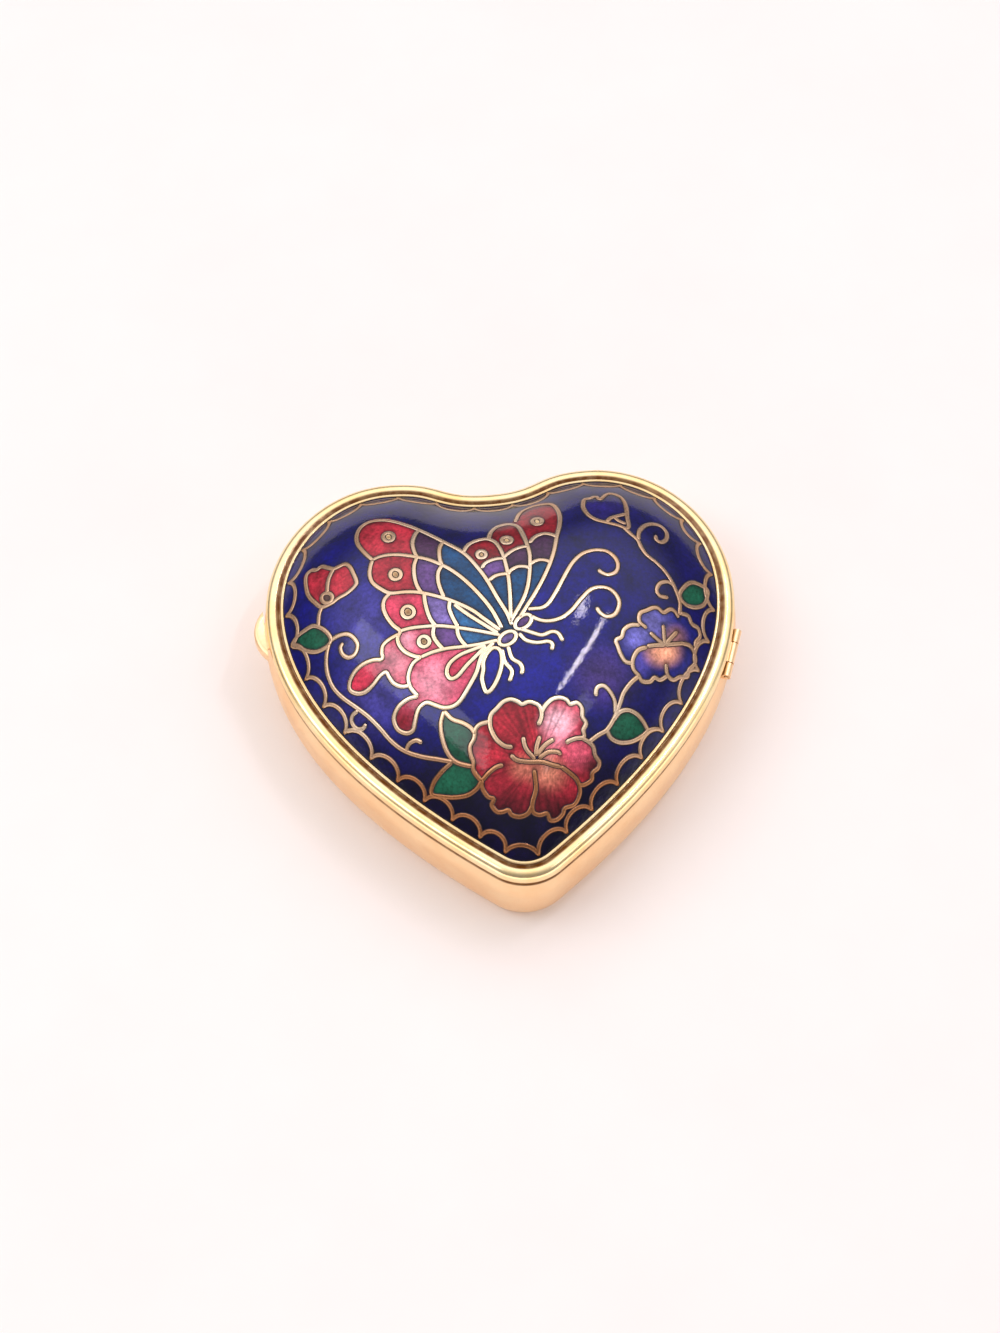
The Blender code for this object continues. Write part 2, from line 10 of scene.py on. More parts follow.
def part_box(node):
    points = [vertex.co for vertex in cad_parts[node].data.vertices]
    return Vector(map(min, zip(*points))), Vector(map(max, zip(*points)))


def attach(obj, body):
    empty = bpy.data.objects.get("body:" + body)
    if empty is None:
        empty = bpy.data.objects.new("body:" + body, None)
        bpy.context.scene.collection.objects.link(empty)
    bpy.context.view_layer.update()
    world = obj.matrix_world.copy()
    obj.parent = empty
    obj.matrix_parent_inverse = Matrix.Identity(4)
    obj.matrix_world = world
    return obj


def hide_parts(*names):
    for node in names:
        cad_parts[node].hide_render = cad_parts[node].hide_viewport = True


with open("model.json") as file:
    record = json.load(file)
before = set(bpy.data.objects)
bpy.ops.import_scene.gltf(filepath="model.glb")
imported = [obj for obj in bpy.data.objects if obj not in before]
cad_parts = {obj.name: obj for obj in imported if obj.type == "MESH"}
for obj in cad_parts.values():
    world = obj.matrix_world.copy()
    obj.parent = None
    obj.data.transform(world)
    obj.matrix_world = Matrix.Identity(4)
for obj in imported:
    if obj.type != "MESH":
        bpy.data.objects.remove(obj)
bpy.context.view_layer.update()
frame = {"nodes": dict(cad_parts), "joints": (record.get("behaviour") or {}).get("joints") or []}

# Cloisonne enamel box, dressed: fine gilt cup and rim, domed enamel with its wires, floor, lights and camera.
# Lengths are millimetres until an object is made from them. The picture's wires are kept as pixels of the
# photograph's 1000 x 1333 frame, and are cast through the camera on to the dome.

MM = 0.001

# Heart outline of the lid's bead, the same values as the source
LID_WIDTH = 48.0
LID_LENGTH = 46.7
NOTCH_DEPTH = 2.1
WIDEST_Y = 31.5
LOBE_TOP_X = 10.4
TIP_RADIUS = 5.4
TIP_SIDE_ANGLE = math.radians(37.2)
NOTCH_HANDLE = 5.4
LOBE_INNER_HANDLE = 5.7
LOBE_OUTER_HANDLE = 6.9
WIDEST_UP_HANDLE = 9.0
WIDEST_DOWN_HANDLE = 13.6
TIP_SIDE_HANDLE = 9.0

# Cup, frame and enamel, the same values as the source
CUP_HEIGHT = 7.2
CUP_WALL = 0.8
CUP_BULGE = 0.3
CUP_BULGE_HEIGHT = 5.0
CUP_RIM_INSET = 0.1
CUP_RIM_LAND = 0.3
CUP_FOOT_INSET = 0.9
SEAM_GAP = 0.15
BEAD_RADIUS = 0.85
GROOVE_WIDTH = 0.06
GROOVE_HEIGHT = 0.65
LIP_HEIGHT = 1.15
LIP_WIDTH = 0.42
SEAT_WIDTH = 0.45
SEAT_CLEARANCE = 0.2
ENAMEL_EDGE_GAP = 0.1
ENAMEL_EDGE_DROP = 0.15
ENAMEL_THICKNESS = 1.2
DOME_RISE = 6.5
DOME_EDGE_ANGLE = math.radians(43.0)
DOME_CENTRE_Y = 26.0
DOME_LEAST_POWER = 1.2
HOLLOW_RADIUS = 0.55
HOLLOW_LENGTH = 6.04
LIP_SINK = 0.18
LIP_NARROW = 0.1
LIP_ROUND = 0.1

LID_BOTTOM = CUP_HEIGHT + SEAM_GAP
BEAD_HEIGHT = LID_BOTTOM + BEAD_RADIUS
GROOVE_INSET = BEAD_RADIUS + math.sqrt(BEAD_RADIUS ** 2 - GROOVE_HEIGHT ** 2)
LIP_FOOT_INSET = GROOVE_INSET + GROOVE_WIDTH
LIP_INSET = LIP_FOOT_INSET + LIP_WIDTH
ENAMEL_INSET = LIP_INSET + ENAMEL_EDGE_GAP
ENAMEL_EDGE_HEIGHT = BEAD_HEIGHT + LIP_HEIGHT - ENAMEL_EDGE_DROP
ENAMEL_FOOT_INSET = ENAMEL_INSET + ENAMEL_THICKNESS * math.sin(DOME_EDGE_ANGLE)
ENAMEL_FOOT_HEIGHT = ENAMEL_EDGE_HEIGHT - ENAMEL_THICKNESS * math.cos(DOME_EDGE_ANGLE)
FRAME_INSET = ENAMEL_FOOT_INSET + SEAT_WIDTH

# The drawing's zero, the outer edge of the heart's tip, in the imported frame
FRAME_LOW, FRAME_HIGH = (np.array(corner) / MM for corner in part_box("lid_frame"))
SHIFT = np.array([(FRAME_LOW[0] + FRAME_HIGH[0]) / 2, FRAME_LOW[1]])

# Fineness of the meshes
OUTLINE_POINTS = 560
EDGE_SAMPLES = 640
DOME_RINGS = 150
BACK_RINGS = 16
PROUD = 0.02

# Wires
WIRE_HALF_WIDTH = 0.185
WIRE_RISE = 0.05
WIRE_SECTION = [(-1.55, 0.1, 1), (-1.05, 0.15, 1), (-1.0, 0.55, 0), (-0.7, 1.0, 0), (0.7, 1.0, 0),
                (1.0, 0.55, 0), (1.05, 0.15, 1), (1.55, 0.1, 1)]
WIRE_STEP = 1.6
# Painted shade on the wires: darker away from the lit middle of the picture and towards its bottom
WIRE_LIT_MIDDLE = (490, 670)
WIRE_SHADE_FROM = 50
WIRE_SHADE_RUN = 200
WIRE_SHADE_MOST = 0.7
WIRE_SHADE_BELOW = 695
WIRE_SHADE_BELOW_RUN = 80
EDGE_TUCK = 0.09

CUP_RIM_ROUND = 0.08

# Where the plate is painted darker on the bead's section: brown patina and painted shade into the groove, and
# painted shade down to the seam under the bead
GROOVE_SHADE_FROM = math.radians(97)
GROOVE_SHADE_FULL = math.radians(110)
SEAM_SHADE_TO = math.radians(-20)
SEAM_SHADE = 0.6

# Camera: the view that the photograph was taken from
PHOTO_SIZE = (1000, 1333)
FOCAL_PIXELS = 3074
SENSOR = 36.0
VIEW_TARGET = np.array([SHIFT[0] - 0.680, SHIFT[1] + 24.226, 8.2])
VIEW_DISTANCE = 310.7
VIEW_ELEVATION = math.radians(60.86)
VIEW_AZIMUTH = math.radians(-5.17)

# Light
ROOM_FRONT = 0.32
ROOM_BACK = 1.5
ROOM_TABLE = 1.6
ROOM_LOW = 0.2
SOFT_BOX_POWER = 0.34
SIDE_BOX_POWER = 0.07
WINDOW_POWER = 0.11
PANE_POWER = 0.03
LIGHT_AIM = Vector((0, 0, 10))

VIEW_BACK = np.array([math.sin(VIEW_AZIMUTH) * math.cos(VIEW_ELEVATION),
                      -math.cos(VIEW_AZIMUTH) * math.cos(VIEW_ELEVATION),
                      math.sin(VIEW_ELEVATION)])
VIEW_RIGHT = np.array([math.cos(VIEW_AZIMUTH), math.sin(VIEW_AZIMUTH), 0.0])
VIEW_UP = np.cross(VIEW_BACK, VIEW_RIGHT)
VIEW_PLACE = VIEW_TARGET + VIEW_DISTANCE * VIEW_BACK
PHOTO_MIDDLE = np.array(PHOTO_SIZE) / 2


def to_photo(points):
    """Where points of the frame, in millimetres, fall in the photograph."""
    away = np.asarray(points) - VIEW_PLACE
    depth = -(away @ VIEW_BACK)
    across = FOCAL_PIXELS * (away @ VIEW_RIGHT) / depth
    upward = FOCAL_PIXELS * (away @ VIEW_UP) / depth
    return np.stack([PHOTO_MIDDLE[0] + across, PHOTO_MIDDLE[1] - upward], axis=1)


def bezier(p0, p1, p2, p3, count=60):
    """Points along one cubic stretch, without its last point."""
    t = np.linspace(0, 1, count, endpoint=False)[:, None]
    p0, p1, p2, p3 = (np.array(p, float) for p in (p0, p1, p2, p3))
    return (1 - t) ** 3 * p0 + 3 * (1 - t) ** 2 * t * p1 + 3 * (1 - t) * t * t * p2 + t ** 3 * p3


def right_half_outline():
    """The heart's right half, from its tip round to its notch."""
    half = LID_WIDTH / 2
    top = LID_LENGTH
    sine, cosine = math.sin(TIP_SIDE_ANGLE), math.cos(TIP_SIDE_ANGLE)
    angles = np.linspace(0, TIP_SIDE_ANGLE, 60, endpoint=False)
    arc = np.stack([TIP_RADIUS * np.sin(angles), TIP_RADIUS * (1 - np.cos(angles))], axis=1)
    arc_end = np.array([TIP_RADIUS * sine, TIP_RADIUS * (1 - cosine)])
    side = bezier(arc_end, arc_end + TIP_SIDE_HANDLE * np.array([cosine, sine]),
                  (half, WIDEST_Y - WIDEST_DOWN_HANDLE), (half, WIDEST_Y))
    shoulder = bezier((half, WIDEST_Y), (half, WIDEST_Y + WIDEST_UP_HANDLE),
                      (LOBE_TOP_X + LOBE_OUTER_HANDLE, top), (LOBE_TOP_X, top))
    lobe = bezier((LOBE_TOP_X, top), (LOBE_TOP_X - LOBE_INNER_HANDLE, top),
                  (NOTCH_HANDLE, top - NOTCH_DEPTH), (0, top - NOTCH_DEPTH))
    return np.concatenate([arc, side, shoulder, lobe, [[0, top - NOTCH_DEPTH]]])


def heart_outline(count):
    """Even points round the heart, counter-clockwise from the tip, in the frame, and outward normals."""
    half = right_half_outline()
    reach = np.concatenate([[0], np.cumsum(np.linalg.norm(np.diff(half, axis=0), axis=1))])
    targets = np.linspace(0, reach[-1], count // 2 + 1)
    right = np.stack([np.interp(targets, reach, half[:, 0]), np.interp(targets, reach, half[:, 1])], axis=1)
    left = right[-2:0:-1] * np.array([-1, 1])
    points = np.concatenate([right, left])
    along = np.roll(points, -1, axis=0) - np.roll(points, 1, axis=0)
    normals = np.stack([along[:, 1], -along[:, 0]], axis=1)
    normals /= np.linalg.norm(normals, axis=1)[:, None]
    return points + SHIFT, normals


OUTLINE, OUTLINE_NORMALS = heart_outline(OUTLINE_POINTS)


def ring_points(offset, height):
    """The fine heart moved outward by offset, at one height."""
    plan = OUTLINE + OUTLINE_NORMALS * (offset - PROUD)
    return np.column_stack([plan, np.full(len(plan), height)])


class Dome:
    """The enamel's surface: the source's dome, sunk by the height of the wires on it."""

    def __init__(self):
        points, normals = heart_outline(EDGE_SAMPLES)
        self.edge = points - normals * ENAMEL_INSET
        self.step = np.linalg.norm(np.roll(self.edge, -1, axis=0) - self.edge, axis=1)
        ridge = SHIFT + np.column_stack([np.zeros(57), np.linspace(9.0, 42.0, 57)])
        self.deepest = self.depth(ridge).max()
        self.power = max(DOME_LEAST_POWER, math.tan(DOME_EDGE_ANGLE) * self.deepest / DOME_RISE)

    def depth(self, points):
        """A smooth stand-in for each plan point's distance from the enamel's edge."""
        depths = []
        for start in range(0, len(points), 2000):
            away = np.linalg.norm(points[start:start + 2000, None, :2] - self.edge[None], axis=2)
            away = np.maximum(away, 1e-4)
            depths.append(np.sqrt(2 / np.sum(self.step / away ** 3, axis=1)))
        return np.concatenate(depths)

    def height(self, points):
        """Heights of the surface above plan points."""
        share = np.minimum(1.0, self.depth(points) / self.deepest)
        rise = DOME_RISE * (1 - (1 - share) ** self.power)
        return ENAMEL_EDGE_HEIGHT + rise - WIRE_RISE

    def place(self, points):
        """Plan points put on the surface, with the surface's normals."""
        points = np.asarray(points)[:, :2]
        reach = 0.05
        height = self.height(points)
        slope_x = (self.height(points + (reach, 0)) - self.height(points - (reach, 0))) / (2 * reach)
        slope_y = (self.height(points + (0, reach)) - self.height(points - (0, reach))) / (2 * reach)
        normals = np.column_stack([-slope_x, -slope_y, np.ones(len(points))])
        normals /= np.linalg.norm(normals, axis=1)[:, None]
        return np.column_stack([points, height]), normals

    def under(self, pixels):
        """Plan points of the surface behind pixels of the photograph."""
        pixels = np.asarray(pixels, float)
        rays = (VIEW_RIGHT * ((pixels[:, :1] - PHOTO_MIDDLE[0]) / FOCAL_PIXELS)
                - VIEW_UP * ((pixels[:, 1:] - PHOTO_MIDDLE[1]) / FOCAL_PIXELS) - VIEW_BACK)
        height = np.full(len(pixels), ENAMEL_EDGE_HEIGHT + DOME_RISE / 2)
        for _ in range(14):
            plan = VIEW_PLACE + rays * ((height - VIEW_PLACE[2]) / rays[:, 2])[:, None]
            height = self.height(plan)
        return plan[:, :2]


DOME = Dome()


def smooth_line(points, closed=False, step=WIRE_STEP):
    """A smooth line through a few pixels, as even pixels."""
    points = np.array(points, float)
    if closed:
        points = np.concatenate([points[-1:], points, points[:2]])
    else:
        points = np.concatenate([2 * points[:1] - points[1:2], points, 2 * points[-1:] - points[-2:-1]])
    t = np.linspace(0, 1, 12, endpoint=False)[:, None]
    runs = []
    for p0, p1, p2, p3 in zip(points, points[1:], points[2:], points[3:]):
        runs.append(0.5 * (2 * p1 + (p2 - p0) * t + (2 * p0 - 5 * p1 + 4 * p2 - p3) * t ** 2
                           + (3 * p1 - p0 - 3 * p2 + p3) * t ** 3))
    line = np.concatenate(runs + [points[-2:-1]])
    reach = np.concatenate([[0], np.cumsum(np.linalg.norm(np.diff(line, axis=0), axis=1))])
    even = np.linspace(0, reach[-1], max(4, round(reach[-1] / step)) + 1)
    return np.column_stack([np.interp(even, reach, line[:, 0]), np.interp(even, reach, line[:, 1])])


def oval(centre, across, up, tilt=0.0):
    """Pixels round an ellipse."""
    angles = np.linspace(0, 2 * math.pi, 16, endpoint=False)
    x, y = across * np.cos(angles), up * np.sin(angles)
    turn = math.radians(tilt)
    return [(centre[0] + math.cos(turn) * a - math.sin(turn) * b,
             centre[1] + math.sin(turn) * a + math.cos(turn) * b) for a, b in zip(x, y)]


# Butterfly, left forewing
FOREWING_EDGE = [(372.5, 560), (365, 553.3), (358.3, 545), (356.7, 536.7), (360.8, 527.5), (370, 522),
                 (383, 520.3), (397, 522.5), (418, 529.7), (443, 541.7), (463, 552.5), (477, 566.7),
                 (487, 580), (497, 597), (507, 613), (512, 625)]
FOREWING_MIDDLE = [(372.5, 560), (379, 557), (388, 555), (400, 554.7), (417, 557), (430, 560), (442, 565),
                   (453, 571), (466, 581), (480, 595), (492, 610), (502, 628)]
FOREWING_BACK = [(372.5, 560), (370.3, 567), (369.7, 575), (372.5, 582.5), (380, 588.3), (390, 593),
                 (405, 592), (420, 592.5), (440, 597), (455, 602), (472, 610), (484, 618.5), (500, 630)]
FOREWING_RIB_1 = [(419, 530), (415, 535), (412.5, 543), (414, 551), (417, 557)]
FOREWING_RIB_2 = [(443, 542), (440, 547), (439.2, 553), (440, 560), (442, 565)]
FOREWING_RIB_3 = [(417, 557), (414.2, 565), (414.2, 575), (416.7, 585), (421.7, 593.3)]
FOREWING_RIB_4 = [(442, 565), (438.3, 572), (438, 580), (440, 588), (444, 597.5)]

# Butterfly, left hindwing
HINDWING_EDGE = [(390, 593), (384.2, 600), (383.3, 608), (386.7, 616.7), (393, 625), (400, 631),
                 (397.5, 638), (399.2, 645), (405, 651.7), (414, 656), (421, 657)]
HINDWING_MIDDLE = [(400, 631), (410, 628.3), (423, 626.7), (437, 625.8), (450, 626.7), (467, 629),
                   (483, 631.7), (500, 635)]
HINDWING_BACK = [(421, 657), (428, 654), (434, 651.7), (447, 648.5), (463, 646.7), (480, 644.2), (498, 640)]
HINDWING_RIB_1 = [(424, 593), (425, 602), (427.5, 612), (431, 620), (436, 626)]
HINDWING_RIB_2 = [(450, 600), (449.2, 608), (452.5, 617), (458, 627)]
HINDWING_RIB_3 = [(434, 626), (433, 634), (436, 641), (443, 649)]
HINDWING_RIB_4 = [(457, 627), (458, 634), (461, 640), (467, 647)]
HINDWING_INNER = [(454, 604), (466, 613), (480, 622), (498, 633)]
LOWER_LOBE = [(399, 634), (390, 639), (383.3, 645), (381.7, 652), (382, 659), (373, 660), (363, 664.2),
              (355, 671.7), (350, 681.7), (350, 690), (357, 693.5), (365, 692), (373, 685), (380, 676),
              (386, 672), (389, 677), (394, 683.5), (402, 686.5), (411, 685)]
PINK_WING_LEFT = [(421, 657), (413.3, 663), (409.2, 672), (408.3, 680), (410.8, 688), (418, 696.5)]
PINK_WING_RIGHT = [(494, 642), (484, 652), (480, 660), (476.7, 671.7), (471.7, 681.7), (465, 693.3),
                   (459, 702), (451.7, 706.7), (443, 707.5), (435, 705), (426.7, 702.5), (420, 707),
                   (416.7, 714), (415, 722), (413, 730), (406.7, 733.3), (398.5, 730), (394.2, 721.7),
                   (395, 713.3), (400, 705), (409, 698.5), (418, 696.5)]
PINK_WING_LOOP = [(486, 645), (472, 650), (460, 655), (450, 663), (446.7, 671.7), (450, 678.3),
                  (457, 676.5), (467, 665), (477, 655), (486, 646)]

# Butterfly, right wings
RIGHT_WING_A = [(515, 522), (520, 513.3), (530, 507.5), (541.7, 504.7), (551.7, 504.7), (557.5, 510),
                (560, 518.3), (559.2, 527), (556.7, 537), (554.2, 550), (550, 563.3), (543.3, 578.3),
                (535, 593.3), (527.5, 605), (520, 617)]
RIGHT_WING_B = [(488.3, 540), (491, 532.5), (497, 527), (505, 524.7), (511.7, 524.5), (518, 527),
                (522, 533), (526.5, 543), (529.5, 553), (530, 562), (529.5, 574), (527.5, 587),
                (523.3, 599), (516, 612), (510, 622)]
RIGHT_WING_C = [(463, 552.5), (468.3, 545), (476.7, 540.8), (486.7, 539.2), (494, 541.5), (499, 547),
                (503, 555), (506.5, 567), (508.8, 580), (510, 594), (510.5, 608), (511, 622)]
RIGHT_RIB_A1 = [(529.5, 543), (535, 537), (543.3, 533.7), (551.7, 534.5), (557, 537)]
RIGHT_RIB_A2 = [(530, 564.5), (535, 561), (541.7, 559.7), (548.3, 561), (551, 563)]
RIGHT_RIB_B1 = [(503, 558), (508.3, 553.3), (515, 549.2), (521.7, 547), (528, 546)]
RIGHT_RIB_B2 = [(507.5, 575), (511, 570), (517.5, 566.7), (525, 566.5), (530, 568)]
RIGHT_RIB_C1 = [(481.7, 568.3), (485, 563.3), (491.7, 560), (499, 558.5), (504, 558.5)]
RIGHT_RIB_C2 = [(489, 580.5), (494, 576.5), (500, 574.5), (508, 573.5)]

# Butterfly, body, feelers and legs
THORAX = oval((507.5, 638.3), 9.5, 6.0, -32)
HEAD = oval((523.3, 621.7), 9.5, 5.8, -38)
ABDOMEN = [(493, 648), (487, 653.3), (483.3, 661.7), (483.3, 670), (482, 679), (485, 690), (488.3, 692),
           (493.3, 686.7), (498.3, 677), (501.7, 665), (501.7, 655), (499, 649)]
FEELER_UPPER = [(528, 609), (535, 608.5), (542, 607.5), (549, 602.5), (557, 590), (565, 575), (573, 562),
                (583, 553.3), (595, 550), (606.7, 551.3), (615, 557.5), (618, 565), (615.8, 571.7),
                (608.3, 574.7), (601.7, 572.5), (598.3, 569.2)]
FEELER_LOWER = [(531, 616), (540, 620), (550, 620.8), (561.7, 617.5), (571.7, 610), (580, 600), (590, 590),
                (600, 587), (610, 589.2), (617.5, 596.7), (619.2, 605), (615, 614), (606.7, 616.5),
                (600, 612.5), (596.7, 607)]
LEG_1 = [(521, 629), (532, 632.5), (542, 635), (551.5, 631.7), (558.3, 633.3), (563, 641)]
LEG_2 = [(519, 633), (526, 640), (537, 642.5), (548, 641.3), (552.5, 644), (551.7, 650)]
LEG_3 = [(508, 646), (512, 658), (520, 663.3), (522.5, 669), (521, 674)]
LEG_4 = [(502, 649), (505, 661.7), (511.7, 670), (511, 677), (509, 681)]

# Sprig on the left
BUD = [(322, 607), (315, 602.5), (308.3, 595), (305.8, 583.3), (306.7, 575), (311.7, 570.5),
       (316.7, 570), (321.7, 566.7), (328, 568), (333.5, 569), (338.3, 567), (345, 564.2), (350, 567),
       (353.3, 573.3), (356.5, 581.7), (354.2, 587), (347, 593.3), (338.3, 598.3), (331.7, 603.3)]
BUD_MIDDLE = [(333.5, 569), (328.5, 580), (327, 593)]
BUD_CUP = oval((327, 598), 5.5, 5.0, -20)
BUD_STEM = [(322, 607), (319.2, 615), (318.3, 627)]
LEFT_LEAF = [(292, 646), (297, 637), (305, 630.5), (313.3, 626), (321.7, 628.3), (328.3, 634), (331, 640),
             (326.7, 646.7), (316.7, 651.7), (306.7, 651), (299, 647.5)]
LEFT_CURL = [(330, 641), (338.3, 635.8), (346.7, 634), (353.3, 637.5), (357.5, 645), (355, 654.2),
             (348.3, 657.5), (342.5, 654.2), (340.5, 648), (343, 643)]
VINE = [(329, 644), (326.7, 655), (326.5, 667), (328.5, 677), (333.5, 688), (343, 698), (357, 708),
        (368.3, 716.7), (380, 728.3), (390, 740), (400, 748.3), (410, 753.3), (423, 757), (437, 759.2),
        (453, 762)]
VINE_CURL_1 = [(358, 710.5), (352.5, 715.8), (352, 723), (357, 729), (363, 728.3), (366, 724)]
VINE_CURL_2 = [(406.7, 751.7), (407.5, 746.7), (410.8, 742.5), (416.7, 740.3), (422, 743)]
VINE_TIE = [(346, 732), (352, 730.5), (358, 731), (364, 728)]
LEAF_A_LEFT = [(444, 711), (440.8, 723), (441.7, 735), (445, 747), (450, 756.7), (458, 763), (472, 766.5)]
LEAF_A_RIGHT = [(444, 711), (452, 719), (463, 723), (471, 728), (475, 734)]
LEAF_B = [(452, 762), (441, 772.5), (433.5, 783.3), (431.7, 794.2), (442, 796.7), (455, 797.5),
          (468, 795), (477, 788.3), (482, 780)]

# Large flower, petal by petal
PETAL_LEFT = [(490, 721.5), (480, 724.2), (475, 730), (474.2, 738), (470, 746.7), (470.8, 755),
              (473.3, 762), (473.3, 770), (478, 777), (482, 780), (488, 773.5), (496, 767), (503, 765)]
PETAL_TOP_LEFT = [(512.5, 747), (505, 746), (498, 741), (493, 734), (490, 725), (490.8, 715), (497, 708),
                  (503.3, 701.7), (511, 699.2), (518.3, 701.7), (522, 704.2), (529, 701.7), (537, 704.2),
                  (541, 709), (541.5, 717), (538.3, 725)]
PETAL_TOP_RIGHT = [(541, 713), (545, 705.8), (552, 699.2), (560, 697.5), (567, 700), (570, 704), (577, 702.5),
                   (582, 708.3), (582.5, 716.7), (586, 723.3), (583.3, 730), (584, 737), (576, 738.3),
                   (569, 740.8), (566, 743.5)]
PETAL_RIGHT = [(582, 738), (589, 742), (593.3, 747), (595, 755), (599.2, 762), (598, 768.3), (592.5, 773),
               (591.7, 780), (584, 785), (578, 784.5)]
PETAL_LOW_RIGHT = [(561, 766.5), (570, 773), (577, 780), (580, 789), (579, 797), (574, 805), (565, 808.3),
                   (563, 814), (556.7, 820), (550, 820), (547, 813.3), (540, 815), (533.3, 812),
                   (532.5, 803), (535.8, 790), (535.5, 780), (534.2, 770)]
PETAL_LOW_LEFT = [(482, 780), (482.5, 788.3), (488, 796.7), (494, 799), (491.7, 805), (497, 811.7),
                  (503.3, 811.7), (508.3, 810), (512, 815), (520, 816.7), (528, 813.3), (532.5, 805)]
FLOWER_SEAM = [(510.8, 755), (517, 760), (528, 761.7), (541.7, 761.7), (553.3, 765), (561, 767)]
STAMEN_1 = [(535, 759), (527, 750), (524.2, 743.3), (523.3, 737)]
STAMEN_2 = [(536, 756), (537, 746), (540, 736)]
STAMEN_3 = [(537, 755), (545, 745), (554, 739)]
STAMEN_4 = [(539, 758), (548.3, 752), (558, 752), (560.5, 755)]

# Sprig on the right
RIGHT_STEM = [(589, 742), (598.3, 735), (606.7, 730), (613.3, 720), (617, 711.7), (620, 703),
              (624, 692), (631.7, 682), (639, 676)]
RIGHT_CURL = [(615.5, 714), (615, 702), (610, 691.7), (603.3, 685.5), (597, 688), (595.8, 696)]
RIGHT_LEAF_UP = [(613.5, 720), (620, 712), (628.3, 710), (637, 714.2), (643.3, 721.7), (648.3, 731)]
RIGHT_LEAF_LOW = [(606.7, 730), (611, 738), (620, 742.5), (631.7, 741.7), (642, 736.5), (648.3, 731),
                  (655, 729), (662, 730)]
BLUE_PETAL_TOP = [(646.7, 628), (639.5, 621.7), (640, 613.3), (647, 610), (653.3, 607.5), (658.3, 608.3),
                  (663.3, 612.5), (670, 609.2), (675, 611.7), (678.5, 617.5)]
BLUE_PETAL_RIGHT = [(680, 613), (688, 616), (691.7, 624), (698, 628.5), (700, 636.7), (696, 641.7), (695, 648)]
BLUE_PETAL_LOW_RIGHT = [(682, 643.3), (690, 646), (694.5, 654), (695, 663.3), (689, 670), (687.5, 677),
                        (680, 677), (673.3, 680), (667.5, 675), (666, 664)]
BLUE_PETAL_LOW_LEFT = [(647, 647), (638.3, 650), (633, 659), (633.3, 669), (638.3, 675), (642, 681),
                       (650, 681.7), (654.5, 677.5), (660, 680), (667.5, 676)]
BLUE_PETAL_LEFT = [(640, 625), (631, 625), (624, 629.5), (621.7, 636.7), (616, 640), (618, 647),
                   (621, 655), (625.5, 661.5), (632.5, 663.3)]
BLUE_STROKE_1 = [(665, 645), (658, 640), (650, 632.5)]
BLUE_STROKE_2 = [(665, 645), (664, 635), (663.3, 625)]
BLUE_STROKE_3 = [(665, 645), (671, 638), (677, 631.7)]
BLUE_STROKE_4 = [(665, 645), (674, 644), (684, 643.3)]
BLUE_STROKE_5 = [(665, 645), (657, 645), (647, 646)]
BLUE_STEM = [(679.5, 615), (680, 603.3), (677, 593.3), (671.7, 581.7), (665, 571.7), (656.7, 563),
             (646.7, 555), (641, 547), (637.5, 540), (630, 533.3), (623.3, 527)]
BLUE_CURL_TOP = [(638.3, 540), (639, 531.7), (645, 525.8), (653.3, 524.2), (661.7, 527), (666.7, 533.5),
                 (665.8, 540), (660.8, 542.5), (656, 539.5), (656, 535.5)]
BLUE_CURL_LOW = [(673.3, 585), (667, 581.7), (660, 583.3), (656.7, 590), (660, 596), (668, 597.5)]
BLUE_LEAF = [(679.5, 595), (685, 586), (692, 582.5), (700, 585), (707.5, 590), (707, 598), (703.3, 605),
             (695, 607.5), (685, 604.2)]
BLUE_BUD = [(628, 528), (617, 525), (607, 522.5), (597, 520), (588.3, 515), (583.3, 507.5), (584.2, 500),
            (590, 498.3), (596, 496.7), (600, 499.5), (606.7, 494.5), (613.3, 494), (621.7, 498.3),
            (626, 507), (627, 517)]
BLUE_BUD_CUP = [(606.7, 522), (611, 518), (618, 516), (626, 514)]
BLUE_BUD_TICK = [(614, 517), (619, 521), (626, 524)]

OPEN_WIRES = [
    FOREWING_EDGE, FOREWING_MIDDLE, FOREWING_BACK, FOREWING_RIB_1, FOREWING_RIB_2, FOREWING_RIB_3,
    FOREWING_RIB_4, HINDWING_EDGE, HINDWING_MIDDLE, HINDWING_BACK, HINDWING_RIB_1, HINDWING_RIB_2,
    HINDWING_RIB_3, HINDWING_RIB_4, HINDWING_INNER, LOWER_LOBE, PINK_WING_LEFT, PINK_WING_RIGHT,
    PINK_WING_LOOP, RIGHT_WING_A, RIGHT_WING_B, RIGHT_WING_C, RIGHT_RIB_A1, RIGHT_RIB_A2, RIGHT_RIB_B1,
    RIGHT_RIB_B2, RIGHT_RIB_C1, RIGHT_RIB_C2, FEELER_UPPER, FEELER_LOWER, LEG_1, LEG_2, LEG_3, LEG_4,
    BUD_MIDDLE, BUD_STEM, LEFT_CURL, VINE, VINE_CURL_1, VINE_CURL_2, VINE_TIE, LEAF_A_LEFT, LEAF_A_RIGHT,
    LEAF_B, PETAL_LEFT, PETAL_TOP_LEFT, PETAL_TOP_RIGHT, PETAL_RIGHT, PETAL_LOW_RIGHT, PETAL_LOW_LEFT,
    FLOWER_SEAM, STAMEN_1, STAMEN_2, STAMEN_3, STAMEN_4, RIGHT_STEM, RIGHT_CURL, RIGHT_LEAF_UP,
    RIGHT_LEAF_LOW, BLUE_PETAL_TOP, BLUE_PETAL_RIGHT, BLUE_PETAL_LOW_RIGHT, BLUE_PETAL_LOW_LEFT,
    BLUE_PETAL_LEFT, BLUE_STROKE_1, BLUE_STROKE_2, BLUE_STROKE_3, BLUE_STROKE_4, BLUE_STROKE_5,
    BLUE_STEM, BLUE_CURL_TOP, BLUE_CURL_LOW, BLUE_BUD_CUP, BLUE_BUD_TICK]
CLOSED_WIRES = [THORAX, HEAD, ABDOMEN, BUD, BUD_CUP, LEFT_LEAF, BLUE_LEAF, BLUE_BUD]

